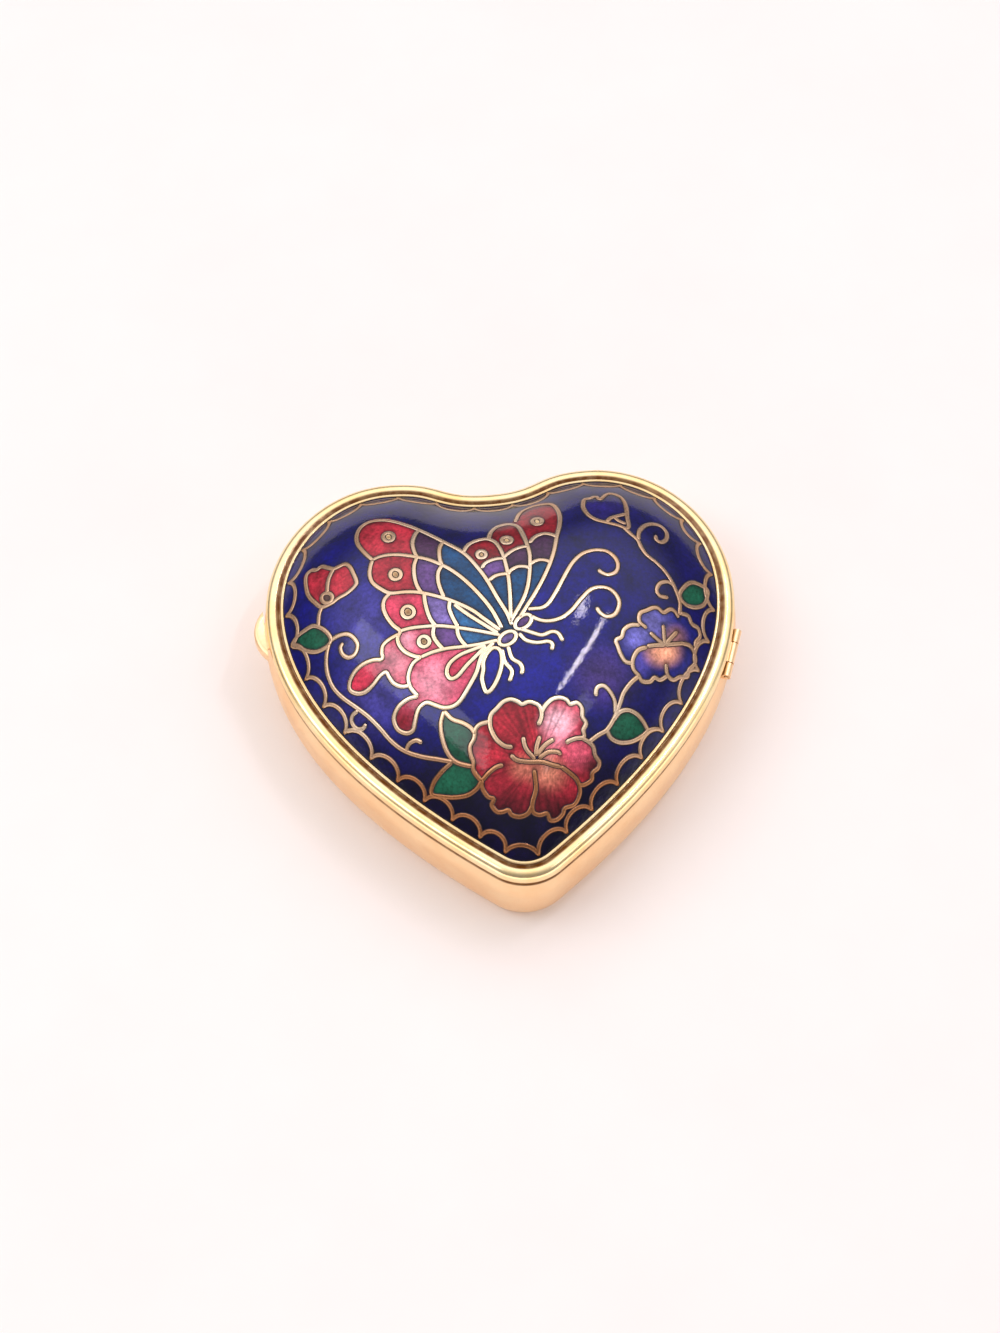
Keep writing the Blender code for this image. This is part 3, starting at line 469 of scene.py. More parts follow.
# Eye rings: centre, across, up
EYE_RINGS = [((388.5, 537), 5.2, 4.3), ((395.5, 574.5), 5.4, 5.0), ((408, 612), 6.0, 5.8),
             ((424, 641.5), 5.4, 5.2), ((537.2, 521.5), 4.9, 3.2), ((506.7, 540.3), 4.9, 3.2),
             ((481.5, 554.5), 4.4, 3.6)]

# Scallops round the edge of the enamel, and their joints from the tip up each side
SCALLOP_JOINTS_RIGHT = [(536, 849), (566, 832), (592, 810), (617, 784), (641, 758), (663, 732), (683, 705),
                        (700, 672), (710, 643), (716, 611), (713, 575), (701, 544), (683, 521)]
SCALLOP_JOINTS_LEFT = [(507, 849), (480, 837), (452, 821), (423, 803), (397, 782), (371, 759), (345, 733),
                       (324, 707), (303, 681), (291, 647), (286, 617), (289, 584), (303, 551), (328, 522),
                       (360, 504), (398, 497), (437, 503)]
HIDDEN_SCALLOPS = 7
SCALLOP_DEPTH = 1.05
SCALLOP_STEPS = 18

# Enamel colours as sRGB bytes: the middle of a cell, and beside its wires
RED = ((180, 42, 60), (100, 14, 28))
RUBY = ((138, 24, 38), (76, 8, 18))
CRIMSON = ((164, 34, 50), (84, 10, 22))
ROSE = ((214, 66, 96), (150, 24, 46))
PINK = ((222, 94, 124), (162, 32, 58))
PLUM = ((66, 34, 70), (30, 12, 34))
LILAC = ((98, 66, 128), (48, 26, 78))
LAVENDER = ((126, 106, 178), (62, 42, 112))
TEAL = ((10, 66, 112), (4, 26, 54))
SKY = ((40, 96, 146), (12, 44, 84))
BLUE = ((24, 24, 140), (10, 8, 66))
INDIGO = ((30, 20, 100), (10, 4, 46))
GREEN = ((18, 82, 60), (6, 38, 28))
PETAL_BLUE = ((26, 28, 116), (8, 6, 48))
EYE = ((150, 96, 52), (238, 206, 156))
EYE_DARK = ((84, 60, 56), (60, 40, 40))
# The ground's navy, lightened to cobalt in the middle and darkened to NIGHT towards the bottom: partly the glass's
# own uneven tone, partly painted light and shade
NAVY = (11, 8, 80)
COBALT = (12, 16, 128)
NIGHT = (8, 2, 24)
# Painted reflection: the pale haze and violet sheen that the lights leave on the glass
HAZE_REFLECTION = (66, 60, 150)
VIOLET_REFLECTION = (86, 62, 132)
PALE_PINK = (252, 196, 212)
SALMON = (244, 166, 132)
MAROON = (62, 8, 20)

# Where each cell is filled from, in pixels, and its glass
FILLS = [
    ((372, 535), RED), ((400, 562.5), RED), ((380, 572), RED), ((395, 608), ROSE), ((420, 612), ROSE),
    ((410, 643), PINK), ((427, 548), PLUM), ((425, 575), LILAC), ((440, 612), LAVENDER), ((447, 637), LILAC),
    ((453, 556), TEAL), ((452, 585), TEAL), ((466, 618), SKY), ((478, 620), SKY), ((472, 636), SKY),
    ((395, 664), ROSE), ((438, 672), PINK), ((456, 668), ROSE), ((484, 650), PINK), ((406, 716), CRIMSON),
    ((530, 530), RUBY), ((545, 548), PLUM), ((540, 572), TEAL), ((514, 543), RUBY), ((517, 558), PLUM),
    ((518, 585), TEAL), ((490, 550), RUBY), ((494, 567), LILAC), ((502, 590), TEAL),
    ((508, 638), LAVENDER), ((523, 622), LILAC), ((491, 668), BLUE),
    ((315, 586), RED), ((342, 580), RED), ((327, 598), EYE_DARK), ((313, 638), GREEN),
    ((455, 740), GREEN), ((455, 782), GREEN), ((628, 725), GREEN), ((694, 595), GREEN),
    ((483, 750), CRIMSON), ((515, 722), CRIMSON), ((563, 720), ROSE), ((582, 762), CRIMSON),
    ((556, 790), CRIMSON), ((508, 790), CRIMSON), ((604, 508), INDIGO),
    ((658, 619), PETAL_BLUE), ((635, 640), PETAL_BLUE), ((688, 632), PETAL_BLUE), ((650, 660), PETAL_BLUE),
    ((684, 660), PETAL_BLUE)] + [(centre, EYE) for centre, _, _ in EYE_RINGS]

# Soft patches: the first pixel picks the cell, then the patch's middle, reach, colour and strength
GROUND = (560, 660)
FLOWER = (515, 722)
TOUCHES = [
    # The cobalt patches: partly the glass's own uneven tone, partly painted light
    (GROUND, (520, 670), 150, COBALT, 0.95), (GROUND, (590, 590), 90, COBALT, 0.6),
    (GROUND, (350, 620), 110, COBALT, 0.6), (GROUND, (420, 730), 70, COBALT, 0.7),
    # Painted reflection: the haze patches on the left and the violet patch on the right
    (GROUND, (372, 618), 62, HAZE_REFLECTION, 0.8), (GROUND, (380, 696), 60, HAZE_REFLECTION, 0.95),
    (GROUND, (600, 676), 46, VIOLET_REFLECTION, 0.6),
    ((395, 664), (396, 660), 34, PALE_PINK, 0.35), ((395, 664), (358, 684), 34, (196, 40, 66), 0.8),
    ((438, 672), (434, 680), 32, PALE_PINK, 0.4), ((438, 672), (470, 676), 26, (206, 70, 100), 0.6),
    ((438, 672), (403, 722), 36, (126, 18, 36), 1.0),
    ((410, 643), (404, 640), 22, PALE_PINK, 0.5),
    (FLOWER, (570, 718), 36, (218, 70, 98), 1.0), (FLOWER, (557, 722), 25, PALE_PINK, 1.0),
    (FLOWER, (556, 738), 22, (236, 128, 150), 0.6),
    (FLOWER, (577, 752), 26, (226, 92, 118), 0.7), (FLOWER, (596, 766), 22, MAROON, 0.8),
    (FLOWER, (548, 772), 28, SALMON, 0.6), (FLOWER, (522, 768), 20, SALMON, 0.4),
    (FLOWER, (505, 812), 50, MAROON, 1.0), (FLOWER, (556, 818), 50, MAROON, 1.0),
    ((582, 762), (577, 752), 26, (226, 92, 118), 0.7), ((582, 762), (598, 768), 24, MAROON, 0.8),
    ((658, 619), (652, 624), 26, (122, 116, 200), 0.8), ((635, 640), (636, 638), 22, (116, 112, 200), 0.8),
    ((650, 660), (638, 664), 20, (84, 74, 168), 0.7),
    ((650, 660), (660, 651), 22, SALMON, 1.0), ((684, 660), (668, 652), 20, SALMON, 1.0),
    ((688, 632), (674, 638), 18, SALMON, 0.5)]
# The ground darkens towards the bottom of the picture: partly the glass's own tone, partly painted shade
GROUND_DARK_FROM = 715
GROUND_DARK_RUN = 80
STREAK_MIDDLE = (538, 760)
STREAK_DEPTH = 0.38

RASTER_STEP = 0.5
RASTER_LOW = np.array([262.0, 482.0])
RASTER_SIZE = (960, 800)
WIRE_REACH = 1.9
EDGE_REACH = 5.0
RIM_SHARPNESS = 2.0
RIM_DARKNESS = 0.45
CELL_LIMIT = 60000


def srgb(colour):
    """Linear light from sRGB bytes."""
    share = np.asarray(colour, float) / 255
    return np.where(share <= 0.04045, share / 12.92, ((share + 0.055) / 1.055) ** 2.4)


def scallop_joints(edge, reach):
    """How far round the edge each scallop ends: the seen joints, and even ones where the rim hides them."""
    seen = to_photo(np.column_stack([edge, np.full(len(edge), ENAMEL_EDGE_HEIGHT)]))
    right, left = ([reach[np.argmin(np.hypot(*(seen - joint).T))] for joint in joints]
                   for joints in (SCALLOP_JOINTS_RIGHT, SCALLOP_JOINTS_LEFT))
    hidden = np.linspace(right[-1], left[-1], HIDDEN_SCALLOPS + 1)
    return np.concatenate([right, hidden[1:], left[-2::-1], [right[0] + reach[-1]]])


def scallop_lines():
    """Plan points of every scallop wire round the enamel's edge."""
    points, normals = heart_outline(4000)
    points = points - normals * (ENAMEL_INSET + WIRE_HALF_WIDTH * 0.6)
    reach = np.concatenate([[0], np.cumsum(np.linalg.norm(np.diff(points, axis=0, append=points[:1]), axis=1))])
    joints = scallop_joints(points, reach)
    angles = np.linspace(0, math.pi, SCALLOP_STEPS + 1)
    lines = []
    for start, end in zip(joints, joints[1:]):
        along = (start + (end - start) * (1 - np.cos(angles)) / 2) % reach[-1]
        base, inward = (np.column_stack([np.interp(along, reach[:-1], values[:, axis]) for axis in (0, 1)])
                        for values in (points, -normals))
        lines.append(base + inward * (SCALLOP_DEPTH * np.sin(angles))[:, None])
    return lines


def raster_place(pixels):
    """Raster cells of photograph pixels."""
    return np.round((np.asarray(pixels) - RASTER_LOW) / RASTER_STEP).astype(int)


def wire_raster(lines):
    """A raster that is true under every wire."""
    mask = np.zeros(RASTER_SIZE, bool)
    reach = math.ceil(WIRE_REACH / RASTER_STEP)
    grid = np.arange(-reach, reach + 1)
    disc = np.hypot(grid[:, None], grid[None]) * RASTER_STEP <= WIRE_REACH
    for line in lines:
        for x, y in raster_place(line):
            if reach < x < RASTER_SIZE[0] - reach - 1 and reach < y < RASTER_SIZE[1] - reach - 1:
                mask[x - reach:x + reach + 1, y - reach:y + reach + 1] |= disc
    return mask


def neighbours(values):
    """The raster moved by one cell to each side."""
    return [np.roll(values, shift, axis) for axis in (0, 1) for shift in (1, -1)]


def fill_cell(solid, marked, seed, label):
    """Give one label to the cell that holds a seed, stopped by the wires."""
    todo = [tuple(int(v) for v in raster_place(seed))]
    filled = 0
    while todo:
        x, y = todo.pop()
        if solid[x][y] or marked[x][y]:
            continue
        marked[x][y] = label
        filled += 1
        if filled > CELL_LIMIT:
            raise ValueError(f"the cell at {seed} is not closed")
        todo += [(x + 1, y), (x - 1, y), (x, y + 1), (x, y - 1)]


def enamel_rasters(lines):
    """Which cell each raster place is in, and how far it is from a wire."""
    mask = wire_raster(lines)
    labels = np.zeros(RASTER_SIZE, np.int16)
    solid = mask.tolist()
    marked = [[0] * RASTER_SIZE[1] for _ in range(RASTER_SIZE[0])]
    for label, (seed, _) in enumerate(FILLS, 1):
        fill_cell(solid, marked, seed, label)
    labels[:] = np.array(marked, np.int16)
    distance = np.where(mask, 0.0, EDGE_REACH)
    for ring in range(1, int(EDGE_REACH / RASTER_STEP)):
        near = np.minimum.reduce(neighbours(distance)) + RASTER_STEP
        distance = np.minimum(distance, near)
    open_wire = mask & (labels == 0)
    for _ in range(2 * math.ceil(WIRE_REACH / RASTER_STEP)):
        spread = np.maximum.reduce(neighbours(labels))
        labels = np.where(open_wire & (labels == 0), spread, labels)
    return labels, distance


def falloff(pixels, centre, reach):
    """1 at a centre, fading smoothly to 0."""
    away = np.hypot(pixels[:, 0] - centre[0], pixels[:, 1] - centre[1]) / reach
    return np.clip(1 - away, 0, 1) ** 2 * (3 - 2 * np.clip(1 - away, 0, 1))


def mix(first, second, share):
    """Blend colours, point by point."""
    return first + (second - first) * np.asarray(share)[:, None]


def petal_streaks(pixels):
    """Fine streaks that run out from the middle of the large flower, around 1."""
    away = pixels - STREAK_MIDDLE
    turn = np.arctan2(away[:, 1], away[:, 0])
    return 1 + STREAK_DEPTH * np.sin(37 * turn + 2.5 * np.sin(11 * turn)) * np.sin(17 * turn + 1)


def enamel_colours(places, lines):
    """The glass colour at each point of the dome."""
    labels, distance = enamel_rasters(lines)
    pixels = to_photo(places)
    cells = np.clip(raster_place(pixels), 0, np.array(RASTER_SIZE) - 1)
    here = labels[cells[:, 0], cells[:, 1]]
    edge = 1 - np.clip(distance[cells[:, 0], cells[:, 1]] / EDGE_REACH, 0, 1)
    core = np.array([srgb(NAVY)] + [srgb(core) for _, (core, _) in FILLS])[here]
    rim = np.array([srgb(NAVY)] + [srgb(rim) for _, (_, rim) in FILLS])[here]
    for seed, centre, reach, touch, share in TOUCHES:
        inside = here == labels[tuple(raster_place(seed))]
        strength = share * falloff(pixels[inside], centre, reach)
        core[inside] = mix(core[inside], srgb(touch), strength)
        rim[inside] = mix(rim[inside], srgb(touch) * RIM_DARKNESS, strength)
    # Painted shade, over the glass's own tone: the ground darker towards the bottom.
    ground = here == 0
    night = np.clip((pixels[ground, 1] - GROUND_DARK_FROM) / GROUND_DARK_RUN, 0, 0.85)
    core[ground] = mix(core[ground], srgb(NIGHT), night)
    rim[ground] = core[ground] * RIM_DARKNESS
    flower = here == labels[tuple(raster_place(FLOWER))]
    core[flower] *= petal_streaks(pixels[flower])[:, None]
    return mix(core, rim, edge ** RIM_SHARPNESS)


def mesh_object(name, verts, faces, smooth=True):
    """An object from millimetre points, at the origin of the frame."""
    mesh = bpy.data.meshes.new(name)
    mesh.from_pydata((np.asarray(verts) * MM).tolist(), [], faces)
    mesh.validate()
    if smooth:
        mesh.shade_smooth()
    obj = bpy.data.objects.new(name, mesh)
    bpy.context.scene.collection.objects.link(obj)
    return obj


def loft_faces(first, count, rings, closed=False):
    """Quads between neighbouring rings of count points."""
    faces = []
    last = rings if closed else rings - 1
    for ring in range(last):
        low = first + ring * count
        high = first + (ring + 1) % rings * count
        for i in range(count):
            j = (i + 1) % count
            faces.append((low + i, low + j, high + j, high + i))
    return faces


def set_point_attribute(obj, name, kind, values):
    """A named value at each point of a mesh."""
    attribute = obj.data.attributes.new(name, kind, "POINT")
    field = "color" if kind == "FLOAT_COLOR" else "value"
    attribute.data.foreach_set(field, np.asarray(values, np.float32).ravel())


# Materials


class Shader:
    """A material with a Principled shader, built node by node."""

    def __init__(self, name, **values):
        self.material = bpy.data.materials.new(name)
        self.material.use_nodes = True
        self.tree = self.material.node_tree
        self.shader = self.tree.nodes["Principled BSDF"]
        for socket, value in values.items():
            self.shader.inputs[socket.replace("_", " ")].default_value = value
        self.place = self.node("ShaderNodeTexCoord").outputs["Object"]

    def node(self, kind, **settings):
        """A new node with its properties and its plain input values set."""
        made = self.tree.nodes.new(kind)
        for key, value in settings.items():
            if hasattr(made, key):
                setattr(made, key, value)
            else:
                made.inputs[key.replace("_", " ")].default_value = value
        return made

    def link(self, source, target):
        """Join two sockets."""
        self.tree.links.new(source, target)

    def noise(self, scale, detail=3.0, stretch=(1, 1, 1)):
        """Noise over the object, scale in waves a metre."""
        mapping = self.node("ShaderNodeMapping")
        mapping.inputs["Scale"].default_value = stretch
        self.link(self.place, mapping.inputs["Vector"])
        noise = self.node("ShaderNodeTexNoise", Scale=scale, Detail=detail, Roughness=0.6)
        self.link(mapping.outputs["Vector"], noise.inputs["Vector"])
        return noise.outputs["Fac"]

    def ranged(self, source, low, high, new_low, new_high):
        """Map a value from one range to another."""
        node = self.node("ShaderNodeMapRange")
        for index, value in enumerate((low, high, new_low, new_high), 1):
            node.inputs[index].default_value = value
        self.link(source, node.inputs[0])
        return node.outputs[0]

    def blend(self, share, first, second, mode="MIX"):
        """Mix two colours, each a socket or a plain colour."""
        node = self.node("ShaderNodeMix", data_type="RGBA", blend_type=mode)
        for socket, value in ((node.inputs[0], share), (node.inputs[6], first), (node.inputs[7], second)):
            if isinstance(value, bpy.types.NodeSocket):
                self.link(value, socket)
            else:
                socket.default_value = value
        return node.outputs[2]

    def bump(self, layers):
        """Stack bumps, each a height source, its depth in millimetres and its strength."""
        normal = None
        for source, depth, strength in layers:
            node = self.node("ShaderNodeBump", Strength=strength, Distance=depth * MM)
            self.link(source, node.inputs["Height"])
            if normal:
                self.link(normal, node.inputs["Normal"])
            normal = node.outputs["Normal"]
        self.link(normal, self.shader.inputs["Normal"])

    def attribute(self, name):
        """A value stored on the mesh."""
        return self.node("ShaderNodeAttribute", attribute_name=name)


def plain(colour):
    """A colour socket's value from sRGB bytes."""
    return (*srgb(colour), 1.0)


def gilt(name, colour, deep, roughness, darkening=None, bump=0.5, painted_shade=None):
    """Worn gilt metal: a warm plate that shifts in colour, fine scratches and soft dents.

    The darkening and the painted shade are each an attribute that says where they are, and a colour: the darkening
    is brown patina and painted shade on the rim, painted shade on the cup's rim top and a dark edge along the
    wires.
    """
    shader = Shader(name, Metallic=1.0)
    patches = shader.ranged(shader.noise(260, 4), 0.35, 0.7, 0.0, 1.0)
    colour_out = shader.blend(patches, plain(colour), plain(deep))
    if painted_shade:
        colour_out = shader.blend(shader.attribute(painted_shade[0]).outputs["Fac"], colour_out, plain(painted_shade[1]))
    if darkening:
        share = shader.attribute(darkening[0]).outputs["Fac"]
        broken = shader.ranged(shader.noise(900, 5), 0.3, 0.75, 0.75, 1.15)
        product = shader.node("ShaderNodeMath", operation="MULTIPLY", use_clamp=True)
        shader.link(share, product.inputs[0])
        shader.link(broken, product.inputs[1])
        colour_out = shader.blend(product.outputs[0], colour_out, plain(darkening[1]))
        shader.link(shader.ranged(product.outputs[0], 0, 1, 1, 0.2), shader.shader.inputs["Metallic"])
    shader.link(colour_out, shader.shader.inputs["Base Color"])
    fine = shader.noise(5200, 3)
    shader.link(shader.ranged(fine, 0.3, 0.7, roughness * 0.8, roughness * 1.25), shader.shader.inputs["Roughness"])
    shader.bump([(shader.noise(420, 3), 0.05, bump), (fine, 0.006, bump * 0.5)])
    return shader.material


def enamel_glass():
    """Fired glass: the painted colour broken by fine grain and cloud, pits and a glossy skin."""
    shader = Shader("enamel_glass", IOR=1.4, Coat_Weight=0.05, Coat_Roughness=0.06)
    paint = shader.attribute("paint").outputs["Color"]
    cloud = shader.ranged(shader.noise(420, 5), 0.3, 0.7, 0.5, 1.45)
    grain = shader.ranged(shader.noise(2900, 4), 0.3, 0.7, 0.66, 1.4)
    clouded = shader.blend(1.0, paint, shader.blend(1.0, cloud, grain, "MULTIPLY"), "MULTIPLY")
    shader.link(clouded, shader.shader.inputs["Base Color"])
    shader.link(shader.ranged(shader.noise(900, 4), 0.3, 0.7, 0.015, 0.06), shader.shader.inputs["Roughness"])
    shader.bump([(shader.noise(520, 4), 0.03, 0.35), (shader.noise(1150, 3), 0.018, 0.4),
                 (shader.noise(2200, 4), 0.018, 0.4)])
    return shader.material


def studio_paper():
    """The pale floor."""
    shader = Shader("studio_paper", Roughness=0.85)
    tint = shader.blend(shader.noise(60, 3), plain((253, 246, 244)), plain((249, 240, 238)))
    shader.link(tint, shader.shader.inputs["Base Color"])
    return shader.material


# Metal pieces


def frame_section():
    """The lid frame's fine cross-section: insets, heights and how dark the plate is painted there, with brown
    patina and painted shade in the groove and at the lip's foot, painted shade under the bead, on the lip's inner
    face and on the hidden seat, and a little darkening on the lip's top.
    """
    groove_angle = math.asin(GROOVE_HEIGHT / BEAD_RADIUS)
    section = []
    for angle in np.linspace(-math.pi / 2, math.pi - groove_angle, 56):
        groove_share = (angle - GROOVE_SHADE_FROM) / (GROOVE_SHADE_FULL - GROOVE_SHADE_FROM)
        deep = max(0.0, min(1.0, groove_share),
                   SEAM_SHADE * (SEAM_SHADE_TO - angle) / (SEAM_SHADE_TO + math.pi / 2))
        section.append((BEAD_RADIUS * (1 - math.cos(angle)), BEAD_HEIGHT + BEAD_RADIUS * math.sin(angle), deep))
    lip_top = BEAD_HEIGHT + LIP_HEIGHT - LIP_SINK
    section.append((LIP_FOOT_INSET, BEAD_HEIGHT + GROOVE_HEIGHT, 1.0))
    lip_side = LIP_FOOT_INSET + LIP_NARROW
    section.append((lip_side, BEAD_HEIGHT + GROOVE_HEIGHT, 1.0))
    section.append((lip_side, BEAD_HEIGHT + GROOVE_HEIGHT + 0.12, 0.7))
    for middle, first in ((lip_side + LIP_ROUND, 0), (LIP_INSET - LIP_ROUND, math.pi / 2)):
        for angle in np.linspace(first, first + math.pi / 2, 6):
            section.append((middle - LIP_ROUND * math.cos(angle),
                            lip_top - LIP_ROUND * (1 - math.sin(angle)), 0.25))
    section.append((LIP_INSET, ENAMEL_EDGE_HEIGHT - 0.2, 0.6))
    section.append((ENAMEL_FOOT_INSET - SEAT_CLEARANCE, ENAMEL_FOOT_HEIGHT - SEAT_CLEARANCE, 0.5))
    under = ENAMEL_FOOT_HEIGHT + SEAT_WIDTH * math.tan(DOME_EDGE_ANGLE) - 2 * SEAT_CLEARANCE
    section.append((FRAME_INSET, under, 0.3))
    section.append((FRAME_INSET, LID_BOTTOM, 0.3))
    return section


def make_frame():
    """The lid's rim: bead, groove, lip and seat."""
    section = frame_section()
    verts = np.concatenate([ring_points(-inset, height) for inset, height, _ in section])
    count = OUTLINE_POINTS
    faces = loft_faces(0, count, len(section), closed=True)
    rim = mesh_object("lid_rim", verts, faces)
    # Painted darkening: brown patina and painted shade in the groove, painted shade under the bead and on the
    # hidden faces.
    set_point_attribute(rim, "patina_and_shade", "FLOAT", np.repeat([deep for _, _, deep in section], count))
    return rim


def cup_profile():
    """Outside of the cup from its flat underside to the rim, as offsets and heights."""
    run = CUP_BULGE + CUP_FOOT_INSET
    profile = []
    for angle in np.linspace(math.pi / 2, 0, 26, endpoint=False):
        profile.append((CUP_BULGE - run * (1 - math.cos(angle)), CUP_BULGE_HEIGHT * (1 - math.sin(angle))))
    rise = CUP_HEIGHT - CUP_RIM_LAND - CUP_BULGE_HEIGHT
    for share in np.linspace(0, 1, 12):
        profile.append((CUP_BULGE - (CUP_BULGE + CUP_RIM_INSET) * share ** 2, CUP_BULGE_HEIGHT + rise * share))
    profile.append((-CUP_RIM_INSET, CUP_HEIGHT - CUP_RIM_ROUND))
    profile.append((-CUP_RIM_INSET - CUP_RIM_ROUND, CUP_HEIGHT))
    return profile


def make_cup():
    """The thin-walled cup, with its floor and inside as one closed skin."""
    outside = cup_profile()
    rings = [ring_points(offset, height) for offset, height in outside]
    inside = [(-CUP_RIM_INSET - CUP_WALL + CUP_RIM_ROUND, CUP_HEIGHT),
              (-CUP_RIM_INSET - CUP_WALL, CUP_HEIGHT - CUP_RIM_ROUND)]
    offsets = np.array([p[0] for p in outside[:-2]])
    heights = np.array([p[1] for p in outside[:-2]])
    slopes = np.column_stack([np.gradient(offsets), np.gradient(heights)])
    slopes /= np.linalg.norm(slopes, axis=1)[:, None]
    for (across, up), offset, height in list(zip(slopes, offsets, heights))[::-1]:
        inside.append((offset - CUP_WALL * up, height + CUP_WALL * across))
    rings += [ring_points(offset, height) for offset, height in inside]
    verts = np.concatenate(rings)
    count = OUTLINE_POINTS
    faces = loft_faces(0, count, len(rings))
    faces.append(tuple(range(count - 1, -1, -1)))
    last = (len(rings) - 1) * count
    faces.append(tuple(range(last, last + count)))
    cup = mesh_object("cup_shell", verts, faces)
    for face in cup.data.polygons:
        face.use_smooth = len(face.vertices) == 4
    # Painted shade: the cup's rim top, in the gap under the bead, is painted dark.
    seam = [height > CUP_HEIGHT - CUP_RIM_ROUND / 2 for _, height in outside + inside]
    set_point_attribute(cup, "patina_and_shade", "FLOAT", np.repeat(np.array(seam, float), count))
    return cup


def make_plaque(lines):
    """The enamelled plate: a fine dome on top and a plain counter-enamelled back."""
    count = OUTLINE_POINTS
    centre = SHIFT + np.array([0, DOME_CENTRE_Y])
    edge = OUTLINE - OUTLINE_NORMALS * ENAMEL_INSET
    plans = [edge + (centre - edge) * (step / DOME_RINGS) for step in range(1, DOME_RINGS)]
    tuck = np.column_stack([edge + OUTLINE_NORMALS * EDGE_TUCK,
                            np.full(count, ENAMEL_EDGE_HEIGHT - WIRE_RISE - EDGE_TUCK * math.tan(DOME_EDGE_ANGLE))])
    edge_ring = np.column_stack([edge, np.full(count, ENAMEL_EDGE_HEIGHT - WIRE_RISE)])
    places, _ = DOME.place(np.concatenate(plans + [centre[None]]))
    backs = [edge + (centre - edge) * (step / BACK_RINGS) for step in range(1, BACK_RINGS)]
    back_places, back_normals = DOME.place(np.concatenate(backs + [centre[None]]))
    back_places = back_places - back_normals * ENAMEL_THICKNESS
    foot = np.column_stack([OUTLINE - OUTLINE_NORMALS * ENAMEL_FOOT_INSET, np.full(count, ENAMEL_FOOT_HEIGHT)])
    kept = BACK_RINGS - 1 - 2
    verts = np.concatenate([tuck, edge_ring, places, foot, back_places[2 * count:]])
    faces = loft_faces(0, count, DOME_RINGS + 1)
    apex = (DOME_RINGS + 1) * count
    faces += [(apex - count + i, apex - count + (i + 1) % count, apex) for i in range(count)]
    back = apex + 1
    faces += [face[::-1] for face in loft_faces(back, count, kept + 1)]
    last = back + kept * count
    faces += [(last + (i + 1) % count, last + i, last + count) for i in range(count)]
    faces += [(i, back + i, back + (i + 1) % count, (i + 1) % count) for i in range(count)]
    plaque = mesh_object("enamel_dome", verts, faces)
    colours = enamel_colours(np.concatenate([tuck, edge_ring, places]), lines)
    rest = np.tile(srgb(NAVY), (len(verts) - len(colours), 1))
    colours = np.concatenate([colours, rest])
    set_point_attribute(plaque, "paint", "FLOAT_COLOR", np.column_stack([colours, np.ones(len(colours))]))
    return plaque


def wire_rings(plan, closed):
    """Cross-sections of one wire laid along plan points on the dome."""
    places, normals = DOME.place(plan)
    if closed:
        along = np.roll(places, -1, axis=0) - np.roll(places, 1, axis=0)
    else:
        along = np.gradient(places, axis=0)
    along /= np.linalg.norm(along, axis=1)[:, None]
    across = np.cross(along, normals)
    width = np.full(len(places), WIRE_HALF_WIDTH)
    if not closed:
        width[[0, -1]] *= 0.55
    rings = [places + across * (width * side)[:, None] + normals * (WIRE_RISE * rise)
             for side, rise, _ in WIRE_SECTION]
    return np.stack(rings, axis=1)


def make_wires(open_lines, closed_lines):
    """Every wire of the picture as one mesh of low rounded strips, dark where they meet the glass."""
    verts = []
    faces = []
    total = 0
    for lines, closed in ((open_lines, False), (closed_lines, True)):
        for plan in lines:
            rings = wire_rings(plan, closed)
            steps, sides = rings.shape[:2]
            faces += loft_faces(total, sides, steps, closed)
            if not closed:
                faces.append(tuple(range(total + sides - 1, total - 1, -1)))
                last = total + (steps - 1) * sides
                faces.append(tuple(range(last, last + sides)))
            verts.append(rings.reshape(-1, 3))
            total += steps * sides
    wires = mesh_object("enamel_wires", np.concatenate(verts), faces)
    seam = np.tile([dark for _, _, dark in WIRE_SECTION], total // len(WIRE_SECTION))
    set_point_attribute(wires, "seam", "FLOAT", seam)
    # Painted shade: the wires darker away from the lit middle and towards the bottom.
    pixels = to_photo(np.concatenate(verts))
    away = np.hypot(*(pixels - WIRE_LIT_MIDDLE).T)
    painted_shade = np.clip((away - WIRE_SHADE_FROM) / WIRE_SHADE_RUN, 0, WIRE_SHADE_MOST)
    below = np.clip((pixels[:, 1] - WIRE_SHADE_BELOW) / WIRE_SHADE_BELOW_RUN, 0, 1)
    set_point_attribute(wires, "painted_shade", "FLOAT", np.maximum(painted_shade, below))
    return wires


def turned_to(direction):
    """A turn that points Z along a direction."""
    return direction.to_track_quat("Z", "Y").to_matrix().to_4x4()


def cut_barrel(obj):
    """Cut the hinge barrel's hollow out of a piece."""
    joint = frame["joints"][0]
    axis = Vector(joint["axis"])
    mesh = bpy.data.meshes.new("barrel_hollow")
    bm = bmesh.new()
    bmesh.ops.create_cone(bm, cap_ends=True, segments=48, radius1=HOLLOW_RADIUS * MM,
                          radius2=HOLLOW_RADIUS * MM, depth=HOLLOW_LENGTH * MM,
                          matrix=Matrix.Translation(joint["pos_m"]) @ turned_to(axis))
    bm.to_mesh(mesh)
    bm.free()
    cutter = bpy.data.objects.new("barrel_hollow", mesh)
    bpy.context.scene.collection.objects.link(cutter)
    modifier = obj.modifiers.new("barrel hollow", "BOOLEAN")
    modifier.operation = "DIFFERENCE"
    modifier.solver = "EXACT"
    modifier.object = cutter
    bpy.context.view_layer.update()
    done = bpy.data.meshes.new_from_object(obj.evaluated_get(bpy.context.evaluated_depsgraph_get()))
    obj.modifiers.clear()
    obj.data = done
    bpy.data.objects.remove(cutter)


